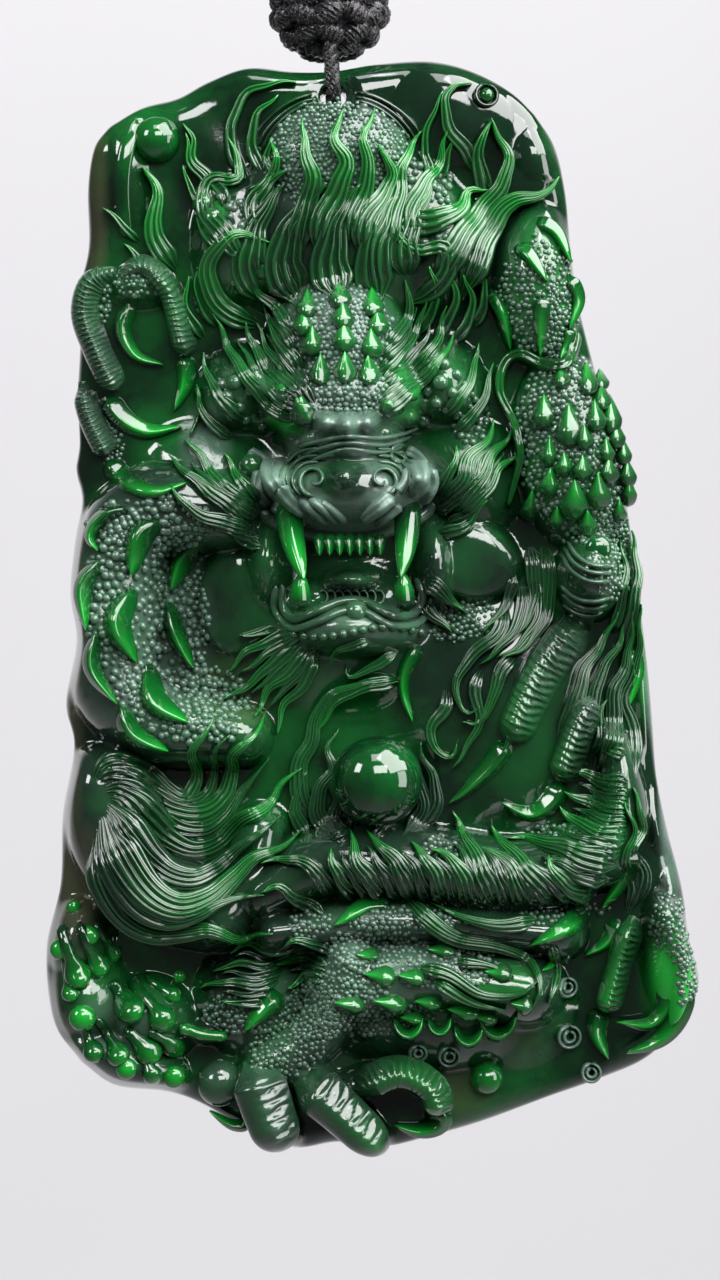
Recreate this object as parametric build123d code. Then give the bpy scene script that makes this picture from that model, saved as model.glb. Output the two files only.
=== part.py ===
from build123d import *
import math
import os
from collections import namedtuple

import numpy as np

# Carved jade plaque on a short loop of black cord.
# Millimetres, +Z up, the carved face looks towards -Y.
# The origin is inside the top of the loop, where the pendant hangs.

# The plaque
PLAQUE_WIDTH = 45.0
PLAQUE_HEIGHT = 75.0
PLATE_THICKNESS = 5.2
RELIEF_RISE = 9.8
RIM_WIDTH = 2.0
FRONT_BEVEL = 1.3
BACK_BEVEL = 0.4
RELIEF_MARGIN = 1.1

# The hole for the cord
HOLE_DIAMETER = 1.8
HOLE_WALL = 1.0
HOLE_FLAT = 0.3
HOLE_LAND = 0.9

# The cord and its knot
CORD_DIAMETER = 1.1
STRAND_GAP = 0.35
STRAND_RISE = 2.5
STRAND_LEAN = 1.6
STRAND_REACH = 2.0
KNOT_DIAMETER = 8.6
KNOT_HEIGHT = 7.8
KNOT_GAP = 0.7
KNOT_ROWS = 5
KNOT_SWELL = 0.08
KNOT_END_ANGLE = 20
STRAND_SINK = 1.0

# The carved face is a grid of small flat facets
COLUMNS = 52
ROWS = 88
EDGE_STEPS = 12
CURVE_STEPS = 14
BLEND_POWER = 7
MASS_POWER = 0.6
MOUTH_POWER = 0.5
EASING_PASSES = 1

# Centreline of the loop, in order from the knot's left strand round to its right one (x, y, z)
LOOP_ROUTE = [
    (-0.75, 0.0, -25.4),
    (-1.3, 0.0, -22.3),
    (-2.9, 0.1, -17.5),
    (-4.5, 0.2, -12.3),
    (-5.5, 0.1, -7.2),
    (-5.4, 0.0, -2.6),
    (-2.3, 0.0, 0.55),
    (2.3, 0.0, 0.55),
    (5.5, -0.1, -2.5),
    (5.6, -0.2, -7.0),
    (4.7, -0.2, -12.1),
    (3.1, -0.1, -17.3),
    (1.4, 0.0, -22.2),
    (0.75, 0.0, -25.4),
]
ROUND_SHARE = 0.45

# Outline of the plaque: percent of the width from its middle, percent of the height from its foot
Point = namedtuple("Point", "across up")
LEFT_EDGE = [
    Point(-44.0, 9.0), Point(-48.0, 13.0), Point(-48.6, 19.5), Point(-46.0, 25.5),
    Point(-45.2, 32.0), Point(-43.0, 38.2), Point(-44.0, 42.2), Point(-42.0, 47.8),
    Point(-42.6, 52.2), Point(-41.6, 57.0), Point(-40.2, 60.8), Point(-40.9, 63.6),
    Point(-40.2, 66.0), Point(-40.2, 70.5), Point(-39.4, 76.2), Point(-39.7, 79.2),
    Point(-37.6, 84.0), Point(-37.3, 89.5), Point(-36.0, 93.3), Point(-33.4, 95.2),
]
RIGHT_EDGE = [
    Point(49.2, 10.6), Point(51.5, 14.0), Point(50.2, 18.2), Point(49.4, 23.0),
    Point(47.5, 28.4), Point(46.3, 33.0), Point(46.0, 38.5), Point(45.3, 46.0),
    Point(44.3, 53.2), Point(43.4, 59.0), Point(42.6, 64.4), Point(40.3, 69.0),
    Point(37.8, 75.4), Point(36.6, 81.4), Point(36.0, 87.5), Point(34.7, 91.7),
    Point(31.8, 94.6),
]
TOP_EDGE = [
    Point(-33.4, 95.2), Point(-28.4, 96.8), Point(-22.8, 97.6), Point(-18.2, 98.9),
    Point(-12.0, 100.0), Point(-5.0, 99.6), Point(1.5, 99.4), Point(8.0, 99.9),
    Point(16.0, 100.0), Point(23.5, 98.6), Point(28.4, 96.8), Point(31.8, 94.6),
]
BOTTOM_EDGE = [
    Point(-44.0, 9.0), Point(-39.2, 6.8), Point(-31.0, 5.9), Point(-24.8, 4.4),
    Point(-17.5, 1.5), Point(-11.5, 0.3), Point(-5.2, 0.6), Point(1.4, 0.0),
    Point(9.0, 0.8), Point(17.0, 1.9), Point(27.5, 4.0), Point(35.5, 5.4),
    Point(43.0, 7.2), Point(49.2, 10.6),
]
HOLE_ACROSS = 1.0

# Rounded masses of the carving: centre, half sizes and turn, and rise above the plate.
# Half sizes are percent of the width, the turn is degrees, rise is a share of RELIEF_RISE.
Mass = namedtuple("Mass", "name across up half_width half_height turn rise")
MASSES = [
    Mass("crest", 1.5, 90.5, 11.2, 9.4, 0, 0.46),
    Mass("hair bed", 2.5, 84.5, 18.0, 13.5, 0, 0.42),
    Mass("forehead", 0.5, 73.5, 11.0, 12.2, 0, 0.70),
    Mass("brow", 0.0, 68.5, 18.0, 6.7, 0, 0.72),
    Mass("left eye", -15.5, 70.0, 3.8, 3.5, 0, 0.68),
    Mass("right eye", 15.5, 70.5, 3.8, 3.5, 0, 0.68),
    Mass("bridge", 0.5, 65.0, 8.2, 7.3, 0, 0.78),
    Mass("nose", 0.5, 61.5, 4.8, 4.2, 0, 1.00),
    Mass("left nostril", -4.2, 61.0, 3.2, 2.8, 0, 0.90),
    Mass("right nostril", 6.0, 61.0, 3.2, 2.8, 0, 0.90),
    Mass("muzzle", 0.5, 59.5, 13.6, 5.8, 0, 0.84),
    Mass("chin", 0.5, 48.5, 10.6, 4.2, 0, 0.74),
    Mass("left jaw", -13.0, 54.5, 3.6, 9.0, 0, 0.45),
    Mass("right jaw", 14.5, 54.0, 3.6, 9.0, 0, 0.45),
    Mass("left cheek oval", -17.0, 51.0, 5.8, 8.4, 0, 0.24),
    Mass("right cheek oval", 18.5, 53.0, 7.6, 7.0, 20, 0.28),
    Mass("shoulder", 35.0, 63.0, 8.2, 14.6, -8, 0.58),
    Mass("knee", 36.5, 52.0, 4.9, 6.1, 0, 0.74),
    Mass("high paw", 30.0, 78.0, 7.0, 9.4, 0, 0.38),
    Mass("left palm", -29.0, 80.0, 5.2, 4.0, 0, 0.55),
    Mass("neck bed", 22.0, 41.0, 18.0, 19.6, 0, 0.32),
    Mass("pearl", 3.0, 34.0, 7.2, 7.2, 0, 0.88),
    Mass("high cloud", -43.5, 20.0, 4.6, 5.2, 0, 0.52),
    Mass("middle cloud", -39.5, 15.5, 6.8, 7.6, 0, 0.50),
    Mass("low cloud", -33.0, 9.5, 7.6, 5.8, -15, 0.50),
    Mass("left ball", -22.5, 6.5, 3.5, 3.5, 0, 0.72),
    Mass("right ball", 18.0, 6.0, 2.8, 2.8, 0, 0.62),
    Mass("top left bead", -26.0, 93.5, 3.8, 3.8, 0, 0.36),
    Mass("top right boss", 24.5, 96.3, 1.8, 1.8, 0, 0.26),
    Mass("low palm", 45.0, 17.5, 5.4, 9.0, 0, 0.42),
    Mass("wave bed", 10.0, 12.5, 16.6, 9.0, 0, 0.40),
]

# Long forms: each follows a bow from its start past a bend to its end (across, up).
# start_half and end_half are its half widths in percent of the width, the rises are shares.
Ridge = namedtuple("Ridge", "name start bend end start_half end_half start_rise end_rise")
RIDGES = [
    Ridge("left horn", (-10.5, 75.5), (-18.5, 80.0), (-13.5, 88.0), 2.6, 1.2, 0.75, 0.55),
    Ridge("right horn", (12.5, 75.5), (19.5, 80.5), (13.0, 86.5), 2.6, 1.2, 0.75, 0.55),
    Ridge("crown flame 1", (-7.5, 79.0), (-12.5, 85.0), (-15.0, 93.5), 2.3, 0.8, 0.62, 0.40),
    Ridge("crown flame 2", (-4.5, 79.0), (-7.0, 86.5), (-9.0, 93.5), 2.3, 0.8, 0.66, 0.45),
    Ridge("crown flame 3", (-1.5, 79.0), (-1.5, 86.5), (-3.5, 94.5), 2.3, 0.8, 0.68, 0.50),
    Ridge("crown flame 4", (1.0, 78.5), (3.0, 86.5), (2.0, 94.5), 2.3, 0.8, 0.70, 0.50),
    Ridge("crown flame 5", (4.0, 78.5), (8.5, 86.0), (7.0, 94.8), 2.3, 0.8, 0.68, 0.50),
    Ridge("crown flame 6", (7.5, 78.5), (15.5, 85.5), (14.0, 94.0), 2.3, 0.8, 0.66, 0.45),
    Ridge("crown flame 7", (10.5, 78.0), (16.5, 85.5), (24.0, 93.3), 2.3, 0.8, 0.62, 0.40),
    Ridge("right wisp", (14.5, 81.0), (26.0, 81.0), (33.5, 88.0), 2.3, 0.8, 0.50, 0.35),
    Ridge("left wisp", (-24.5, 81.0), (-28.5, 86.0), (-28.5, 91.5), 2.0, 0.8, 0.45, 0.30),
    Ridge("upper lip", (-12.5, 58.0), (0.5, 55.0), (14.0, 58.0), 1.9, 1.9, 0.80, 0.80),
    Ridge("lower lip", (-10.0, 52.0), (0.5, 45.5), (12.0, 52.0), 1.8, 1.8, 0.72, 0.72),
    Ridge("left fang", (-8.5, 58.0), (-9.0, 55.5), (-8.0, 52.5), 1.8, 0.9, 0.92, 0.72),
    Ridge("right fang", (9.5, 58.0), (10.0, 55.5), (8.5, 52.0), 1.8, 0.9, 0.92, 0.72),
    Ridge("left beard", (-7.5, 47.0), (-15.5, 45.0), (-21.0, 41.5), 2.6, 0.9, 0.55, 0.30),
    Ridge("right beard", (10.0, 46.5), (6.5, 43.0), (-0.5, 42.0), 2.6, 0.9, 0.55, 0.30),
    Ridge("left cheek hair", (-11.5, 57.5), (-21.0, 57.5), (-23.5, 65.5), 3.0, 0.9, 0.62, 0.35),
    Ridge("right cheek hair", (14.0, 57.5), (23.5, 57.0), (26.5, 64.0), 3.0, 0.9, 0.62, 0.35),
    Ridge("upper whisker", (34.5, 74.5), (31.5, 70.5), (25.5, 71.5), 1.4, 1.4, 0.55, 0.60),
    Ridge("lower whisker", (25.5, 71.5), (25.0, 66.5), (27.5, 62.5), 1.4, 1.1, 0.60, 0.45),
    Ridge("left finger 1", (-31.0, 80.0), (-39.5, 78.0), (-35.5, 71.5), 2.4, 1.8, 0.68, 0.72),
    Ridge("left claw 1", (-35.5, 71.5), (-34.0, 67.5), (-24.5, 67.0), 1.8, 0.8, 0.72, 0.45),
    Ridge("left finger 2", (-28.0, 80.5), (-22.0, 78.0), (-23.5, 74.0), 2.4, 1.7, 0.66, 0.60),
    Ridge("left claw 2", (-23.5, 74.0), (-21.0, 70.5), (-26.0, 68.5), 1.6, 0.8, 0.60, 0.40),
    Ridge("left claw 3", (-32.5, 79.0), (-32.5, 74.0), (-27.0, 73.0), 1.5, 0.8, 0.55, 0.40),
    Ridge("left finger 4", (-37.5, 71.0), (-40.0, 66.5), (-34.5, 64.0), 2.3, 1.7, 0.60, 0.66),
    Ridge("left claw 4", (-34.5, 64.0), (-31.0, 61.0), (-23.5, 61.5), 1.6, 0.8, 0.66, 0.42),
    Ridge("upper coil", (-19.5, 59.5), (-36.5, 61.5), (-35.0, 49.0), 7.0, 7.4, 0.50, 0.58),
    Ridge("lower coil", (-35.0, 49.0), (-35.0, 38.5), (-17.5, 38.0), 7.4, 5.2, 0.58, 0.42),
    Ridge("swirl rim", (-38.0, 35.5), (-41.0, 21.0), (-22.0, 22.0), 6.6, 7.6, 0.55, 0.60),
    Ridge("swirl heart", (-22.0, 22.0), (-9.0, 27.0), (-17.5, 36.0), 7.0, 2.4, 0.60, 0.50),
    Ridge("swirl crest", (-37.5, 36.0), (-28.5, 39.0), (-23.0, 33.0), 4.0, 2.7, 0.55, 0.55),
    Ridge("swirl tip 1", (-18.5, 32.5), (-15.0, 36.0), (-20.5, 40.5), 2.3, 0.8, 0.52, 0.35),
    Ridge("swirl tip 2", (-14.5, 30.5), (-8.5, 34.0), (-13.5, 41.0), 2.3, 0.8, 0.52, 0.35),
    Ridge("swirl tip 3", (-13.5, 28.5), (-6.0, 30.0), (-8.5, 35.5), 2.3, 0.8, 0.52, 0.35),
    Ridge("left pearl flame", (-6.0, 28.5), (-10.5, 34.0), (-3.5, 38.0), 2.4, 0.8, 0.58, 0.45),
    Ridge("right pearl flame", (11.0, 31.0), (15.0, 35.0), (10.0, 41.0), 2.1, 0.8, 0.55, 0.45),
    Ridge("chest claw", (9.0, 39.0), (7.0, 43.0), (12.0, 46.5), 1.5, 0.8, 0.55, 0.40),
    Ridge("inner ribbon", (23.5, 53.5), (17.0, 46.0), (15.5, 37.0), 2.4, 1.5, 0.45, 0.45),
    Ridge("outer ribbon", (32.0, 50.5), (26.0, 44.5), (22.5, 40.5), 2.4, 1.8, 0.48, 0.50),
    Ridge("arm finger 1", (36.5, 48.5), (34.5, 40.5), (23.0, 37.5), 3.2, 2.3, 0.72, 0.75),
    Ridge("arm claw 1", (23.0, 37.5), (19.5, 33.5), (15.0, 31.5), 1.9, 0.8, 0.75, 0.50),
    Ridge("arm finger 2", (39.5, 46.0), (39.0, 37.0), (32.0, 33.5), 3.0, 2.3, 0.66, 0.68),
    Ridge("arm claw 2", (32.0, 33.5), (28.0, 30.0), (22.0, 31.0), 1.9, 0.8, 0.68, 0.45),
    Ridge("side hair", (42.5, 49.5), (40.0, 41.0), (42.0, 34.0), 2.4, 1.1, 0.45, 0.40),
    Ridge("high claw 1", (27.5, 82.5), (30.0, 82.0), (32.0, 79.0), 1.4, 0.8, 0.55, 0.40),
    Ridge("high claw 2", (30.5, 84.5), (34.0, 82.5), (35.0, 79.5), 1.4, 0.8, 0.55, 0.40),
    Ridge("high claw 3", (24.0, 73.0), (23.5, 76.5), (27.0, 79.5), 1.4, 0.8, 0.55, 0.40),
    Ridge("high claw 4", (30.0, 72.0), (32.0, 75.0), (31.5, 78.0), 1.4, 0.8, 0.55, 0.40),
    Ridge("left mane", (-15.5, 25.0), (-4.0, 30.0), (10.0, 26.0), 4.0, 4.9, 0.55, 0.62),
    Ridge("right mane", (10.0, 26.0), (26.5, 23.5), (37.0, 26.5), 4.9, 4.3, 0.62, 0.58),
    Ridge("rising mane", (37.0, 26.5), (44.5, 31.0), (39.5, 38.5), 4.3, 1.2, 0.58, 0.40),
    Ridge("upper back", (-13.0, 20.0), (6.0, 21.5), (26.5, 19.0), 3.3, 3.6, 0.55, 0.58),
    Ridge("lower back", (-4.5, 13.0), (10.0, 17.0), (24.5, 12.0), 5.8, 4.6, 0.55, 0.62),
    Ridge("forearm", (-4.0, 18.0), (-6.5, 9.5), (-15.5, 5.5), 4.6, 3.3, 0.62, 0.66),
    Ridge("foot finger 1", (-15.5, 6.5), (-17.5, 1.5), (-10.5, 2.4), 2.9, 2.1, 0.70, 0.62),
    Ridge("foot finger 2", (-8.5, 7.0), (-6.0, 1.4), (2.5, 1.8), 3.2, 2.3, 0.72, 0.66),
    Ridge("foot finger 3", (0.0, 6.5), (9.0, 8.5), (10.0, 4.8), 2.6, 2.3, 0.62, 0.62),
    Ridge("foot claw 3", (10.0, 4.8), (9.0, 1.8), (4.0, 2.6), 2.1, 0.9, 0.62, 0.45),
    Ridge("elbow claw", (-11.0, 15.5), (-13.0, 12.5), (-18.5, 11.5), 1.7, 0.8, 0.60, 0.35),
    Ridge("low finger 1", (40.5, 19.5), (35.5, 16.0), (36.0, 12.0), 2.4, 1.7, 0.58, 0.60),
    Ridge("low claw 1", (36.0, 12.0), (33.5, 9.0), (37.5, 8.0), 1.5, 0.8, 0.60, 0.40),
    Ridge("low finger 2", (44.5, 22.0), (50.5, 19.0), (49.0, 13.0), 2.9, 2.3, 0.60, 0.62),
    Ridge("low claw 2", (49.0, 13.0), (48.5, 8.8), (40.0, 8.2), 2.0, 0.8, 0.62, 0.40),
    Ridge("low claw 3", (46.0, 14.0), (46.0, 10.5), (38.5, 10.0), 1.5, 0.8, 0.50, 0.35),
]

# The open mouth is cut back into the relief
MOUTH = Mass("mouth", 0.6, 53.5, 5.8, 3.4, 0, 0.30)

os.makedirs("parts", exist_ok=True)


def to_plaque(across, up):
    """Percent of the width from the middle and of the height from the foot, as millimetres."""
    return across * PLAQUE_WIDTH / 100, up * PLAQUE_HEIGHT / 100


def smooth_edge(points, count):
    """A Catmull-Rom curve through an edge's points, cut into count equal lengths."""
    knots = np.array([to_plaque(p.across, p.up) for p in points])
    ends = np.vstack([2 * knots[0] - knots[1], knots, 2 * knots[-1] - knots[-2]])
    fine = []
    for a, b, c, d in zip(ends, ends[1:], ends[2:], ends[3:]):
        for t in np.linspace(0, 1, EDGE_STEPS, endpoint=False):
            fine.append(0.5 * (2 * b + (c - a) * t + (2 * a - 5 * b + 4 * c - d) * t**2
                               + (3 * b - a - 3 * c + d) * t**3))
    fine = np.array(fine + [knots[-1]])
    steps = np.hypot(*np.diff(fine, axis=0).T)
    along = np.concatenate([[0], np.cumsum(steps)])
    wanted = np.linspace(0, along[-1], count + 1)
    return np.column_stack([np.interp(wanted, along, fine[:, axis]) for axis in (0, 1)])


def face_grid():
    """Points of the carved face in plan: the four edges blended across the plaque."""
    left, right = smooth_edge(LEFT_EDGE, ROWS), smooth_edge(RIGHT_EDGE, ROWS)
    foot, head = smooth_edge(BOTTOM_EDGE, COLUMNS), smooth_edge(TOP_EDGE, COLUMNS)
    s = np.linspace(0, 1, COLUMNS + 1)[:, None, None]
    t = np.linspace(0, 1, ROWS + 1)[None, :, None]
    sides = (1 - s) * left[None] + s * right[None]
    ends = (1 - t) * foot[:, None] + t * head[:, None]
    corners = ((1 - s) * (1 - t) * left[0] + s * (1 - t) * right[0]
               + (1 - s) * t * left[-1] + s * t * right[-1])
    return sides + ends - corners


def mass_share(mass, x, z):
    """How far inside a rounded mass each point is: 1 at its middle, 0 from its edge outwards."""
    cx, cz = to_plaque(mass.across, mass.up)
    turn = math.radians(mass.turn)
    dx = (x - cx) * math.cos(turn) + (z - cz) * math.sin(turn)
    dz = (z - cz) * math.cos(turn) - (x - cx) * math.sin(turn)
    half_x = mass.half_width * PLAQUE_WIDTH / 100
    half_z = mass.half_height * PLAQUE_WIDTH / 100
    return np.maximum(0, 1 - (dx / half_x) ** 2 - (dz / half_z) ** 2)


def ridge_height(ridge, x, z):
    """Height of one long form above the plate, round across its line."""
    t = np.linspace(0, 1, CURVE_STEPS + 1)
    start, bend, end = (np.array(to_plaque(*p)) for p in (ridge.start, ridge.bend, ridge.end))
    line = np.outer((1 - t) ** 2, start) + np.outer(2 * t * (1 - t), bend) + np.outer(t**2, end)
    height = np.zeros_like(x)
    for k in range(CURVE_STEPS):
        step = line[k + 1] - line[k]
        share = ((x - line[k, 0]) * step[0] + (z - line[k, 1]) * step[1]) / (step @ step)
        share = np.clip(share, 0, 1)
        away = np.hypot(x - line[k, 0] - share * step[0], z - line[k, 1] - share * step[1])
        place = t[k] + share * (t[k + 1] - t[k])
        half = (ridge.start_half + (ridge.end_half - ridge.start_half) * place) * PLAQUE_WIDTH / 100
        rise = ridge.start_rise + (ridge.end_rise - ridge.start_rise) * place
        round_form = np.sqrt(np.maximum(0, 1 - (away / half) ** 2))
        height = np.maximum(height, rise * RELIEF_RISE * round_form)
    return height


def relief(x, z):
    """Height of the carving above the plate: every form blended, less the open mouth."""
    total = np.zeros_like(x)
    for mass in MASSES:
        total += (mass.rise * RELIEF_RISE * mass_share(mass, x, z) ** MASS_POWER) ** BLEND_POWER
    for ridge in RIDGES:
        total += ridge_height(ridge, x, z) ** BLEND_POWER
    height = total ** (1 / BLEND_POWER)
    depth = mass_share(MOUTH, x, z) ** MOUTH_POWER
    floor = MOUTH.rise * RELIEF_RISE
    return np.where(depth > 0, np.minimum(height, height + (floor - height) * depth), height)


def eased(height):
    """Height averaged with its neighbours, so that no facet stands on edge."""
    for _ in range(EASING_PASSES):
        wide = np.pad(height, 1, mode="edge")
        across = (wide[:-2] + 2 * wide[1:-1] + wide[2:]) / 4
        height = (across[:, :-2] + 2 * across[:, 1:-1] + across[:, 2:]) / 4
    return height


def rim_distance(grid, rim):
    """Distance of each grid point from the plaque's outline."""
    flat = grid.reshape(-1, 2)
    nearest = np.full(len(flat), np.inf)
    for a, b in zip(rim, np.roll(rim, -1, axis=0)):
        step = b - a
        share = np.clip(((flat - a) @ step) / (step @ step), 0, 1)
        away = np.hypot(*(flat - a - share[:, None] * step).T)
        nearest = np.minimum(nearest, away)
    return nearest.reshape(grid.shape[:2])


def rim_order():
    """Grid indices round the outline, starting at the lower left corner."""
    foot = [(i, 0) for i in range(COLUMNS)]
    right = [(COLUMNS, j) for j in range(ROWS)]
    head = [(i, ROWS) for i in range(COLUMNS, 0, -1)]
    left = [(0, j) for j in range(ROWS, 0, -1)]
    return foot + right + head + left


def hole_place():
    """The hole's centre in plan: its wall of jade lies between it and the top edge."""
    across = HOLE_ACROSS * PLAQUE_WIDTH / 100
    head = smooth_edge(TOP_EDGE, COLUMNS)
    top = np.interp(across, head[:, 0], head[:, 1])
    return np.array([across, top - HOLE_WALL - HOLE_DIAMETER / 2])


def open_hole(grid, centre):
    """Draw the eight grid points round the hole onto its ring, and ease their neighbours away."""
    away = np.hypot(*(grid - centre).transpose(2, 0, 1))
    ci, cj = np.unravel_index(np.argmin(away[1:-1, 1:-1]), away[1:-1, 1:-1].shape)
    ci, cj = ci + 1, cj + 1
    around = [(1, 0), (1, 1), (0, 1), (-1, 1), (-1, 0), (-1, -1), (0, -1), (1, -1)]
    ring_radius = HOLE_DIAMETER / 2 / math.cos(math.pi / len(around))
    ring = []
    for k, (di, dj) in enumerate(around):
        angle = 2 * math.pi * k / len(around)
        spot = centre + ring_radius * np.array([math.cos(angle), math.sin(angle)])
        shift = spot - grid[ci + di, cj + dj]
        grid[ci + di, cj + dj] = spot
        ring.append((ci + di, cj + dj))
        outer = (ci + 2 * di, cj + 2 * dj)
        if outer[1] < ROWS:
            grid[outer] = grid[outer] + shift / 2
    return ring, (ci, cj)


def flat_face(*points):
    """One flat facet through its corners."""
    return Face(Wire.make_polygon([Vector(*p) for p in points], close=True))


def make_plaque():
    """The jade: a carved front grid, a straight rim, a bevel and a flat back, with one hole."""
    grid = face_grid()
    centre = hole_place()
    rim = np.array([grid[i, j] for i, j in rim_order()])
    ring, middle = open_hole(grid, centre)
    x, z = grid[..., 0], grid[..., 1]
    inset = rim_distance(grid, rim)
    rim_share = np.clip(inset / RIM_WIDTH, 0, 1)
    bevel = FRONT_BEVEL * (1 - np.sqrt(1 - (1 - rim_share) ** 2))
    from_hole = np.hypot(x - centre[0], z - centre[1]) - HOLE_DIAMETER / 2
    fade = np.clip(inset / RELIEF_MARGIN, 0, 1) * np.clip((from_hole - HOLE_FLAT) / HOLE_LAND, 0, 1)
    front = -PLATE_THICKNESS / 2 + bevel - eased(relief(x, z)) * fade
    back = PLATE_THICKNESS / 2

    def spot(i, j):
        return x[i, j] - centre[0], front[i, j], z[i, j] - centre[1]

    faces = []
    for i in range(COLUMNS):
        for j in range(ROWS):
            if abs(2 * i + 1 - 2 * middle[0]) == 1 and abs(2 * j + 1 - 2 * middle[1]) == 1:
                continue
            a, b, c, d = spot(i, j), spot(i + 1, j), spot(i + 1, j + 1), spot(i, j + 1)
            if abs(a[1] - c[1]) < abs(b[1] - d[1]):
                faces += [flat_face(a, b, c), flat_face(a, c, d)]
            else:
                faces += [flat_face(a, b, d), flat_face(b, c, d)]

    order = rim_order()
    tangent = np.roll(rim, -1, axis=0) - np.roll(rim, 1, axis=0)
    inward = np.column_stack([-tangent[:, 1], tangent[:, 0]])
    inward = inward / np.hypot(*inward.T)[:, None]
    inner = rim + BACK_BEVEL * inward - centre
    outer = rim - centre
    shoulder = back - BACK_BEVEL
    for k, (i, j) in enumerate(order):
        n = (k + 1) % len(order)
        low, high = spot(i, j), spot(*order[n])
        step_low = (outer[k][0], shoulder, outer[k][1])
        step_high = (outer[n][0], shoulder, outer[n][1])
        back_low = (inner[k][0], back, inner[k][1])
        back_high = (inner[n][0], back, inner[n][1])
        faces.append(flat_face(low, step_low, step_high, high))
        faces.append(flat_face(step_low, back_low, back_high))
        faces.append(flat_face(step_low, back_high, step_high))

    ring_spots = [spot(i, j) for i, j in ring]
    for a, b in zip(ring_spots, ring_spots[1:] + ring_spots[:1]):
        faces.append(flat_face(a, b, (b[0], back, b[2]), (a[0], back, a[2])))
    back_wire = Wire.make_polygon([Vector(p[0], back, p[1]) for p in inner], close=True)
    hole_wire = Wire.make_polygon([Vector(p[0], back, p[2]) for p in ring_spots], close=True)
    faces.append(Face(back_wire, [hole_wire]))

    plaque = Solid(Shell(faces))
    if plaque.volume < 0:
        plaque = -plaque
    return Pos(0, 0, HOLE_HEIGHT) * plaque


def cord_along(points, diameter):
    """A round cord along straight runs joined by arcs as large as the runs allow."""
    runs = [(b - a).length for a, b in zip(points, points[1:])]
    radii = []
    for k in range(1, len(points) - 1):
        turn = (points[k] - points[k - 1]).get_angle(points[k + 1] - points[k])
        shorter = min(runs[k - 1], runs[k])
        radii.append(ROUND_SHARE * shorter / math.tan(math.radians(turn / 2)))
    path = FilletPolyline(*points, radius=radii).wire()
    section = Plane(origin=path @ 0, z_dir=path % 0) * Circle(diameter / 2)
    cord = sweep(section, path=path).solid()
    wanted = math.pi * diameter**2 / 4 * path.length
    print("radii", [round(r, 2) for r in radii], "runs", [round(r, 2) for r in runs])
    print("length", round(path.length, 2), "volume share", round(cord.volume / wanted, 4))
    return cord


# Heights down from the origin: the knot, then the hole that the cord passes through
KNOT_TOP = LOOP_ROUTE[0][2] + STRAND_SINK
KNOT_MIDDLE = KNOT_TOP - KNOT_HEIGHT / 2
HOLE_HEIGHT = KNOT_TOP - KNOT_HEIGHT - KNOT_GAP - HOLE_WALL - HOLE_DIAMETER / 2

# The cord that passes through the hole and up both faces into the knot
strand_out = PLATE_THICKNESS / 2 + STRAND_GAP + CORD_DIAMETER / 2
strand_in = strand_out - STRAND_LEAN
bight_up = HOLE_HEIGHT + STRAND_RISE
bight_end = KNOT_TOP - KNOT_HEIGHT + STRAND_REACH
bight_points = [
    Vector(0, -strand_in, bight_end),
    Vector(0, -strand_out, bight_up),
    Vector(0, -strand_out, HOLE_HEIGHT),
    Vector(0, strand_out, HOLE_HEIGHT),
    Vector(0, strand_out, bight_up),
    Vector(0, strand_in, bight_end),
]

# The knot: a ball with a bulge round it for each row of braiding, flat where the cords enter
end_angle = math.radians(KNOT_END_ANGLE)
profile_points = []
for step in range(2 * KNOT_ROWS + 1):
    angle = math.radians(KNOT_END_ANGLE + (180 - 2 * KNOT_END_ANGLE) * step / (2 * KNOT_ROWS))
    swell = 1 if step % 2 else 1 - KNOT_SWELL
    across = KNOT_DIAMETER / 2 * swell * math.sin(angle)
    profile_points.append((across, -KNOT_HEIGHT / 2 * math.cos(angle) / math.cos(end_angle)))
knot_profile = [
    ThreePointArc(*profile_points[step:step + 3]) for step in range(0, 2 * KNOT_ROWS, 2)
]
knot_profile += [
    Line((0, -KNOT_HEIGHT / 2), profile_points[0]),
    Line(profile_points[-1], (0, KNOT_HEIGHT / 2)),
    Line((0, KNOT_HEIGHT / 2), (0, -KNOT_HEIGHT / 2)),
]
knot = Pos(0, 0, KNOT_MIDDLE) * revolve(Plane.XZ * make_face(knot_profile), Axis.Z)

parts = {
    "jade_plaque": make_plaque(),
    "cord_bight": cord_along(bight_points, CORD_DIAMETER),
    "cord_knot": knot.solid(),
    "hanging_cord": cord_along([Vector(*p) for p in LOOP_ROUTE], CORD_DIAMETER),
}
for name, solid in parts.items():
    export_step(solid, f"parts/{name}.step")
    box = solid.bounding_box()
    print(name, "volume", round(solid.volume, 1), "box", box.min, box.max)
print("hole height", round(HOLE_HEIGHT, 3))
print("plaque centre", parts["jade_plaque"].center(CenterOf.MASS))
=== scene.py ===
# %% [markdown]
# # A carved jade pendant
# The real thing is one block of green jade, cut in deep relief and polished, on a loop of black
# braided cord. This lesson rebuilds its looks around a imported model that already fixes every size.
# Forms are worked out as numpy arrays: a height map for the masses, as a carver roughs them out,
# and then hair, claws, scales and teeth laid over it, each kind made by one function.

# %% Setup
import math

import bpy
import numpy as np
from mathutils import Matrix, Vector, geometry


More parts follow.
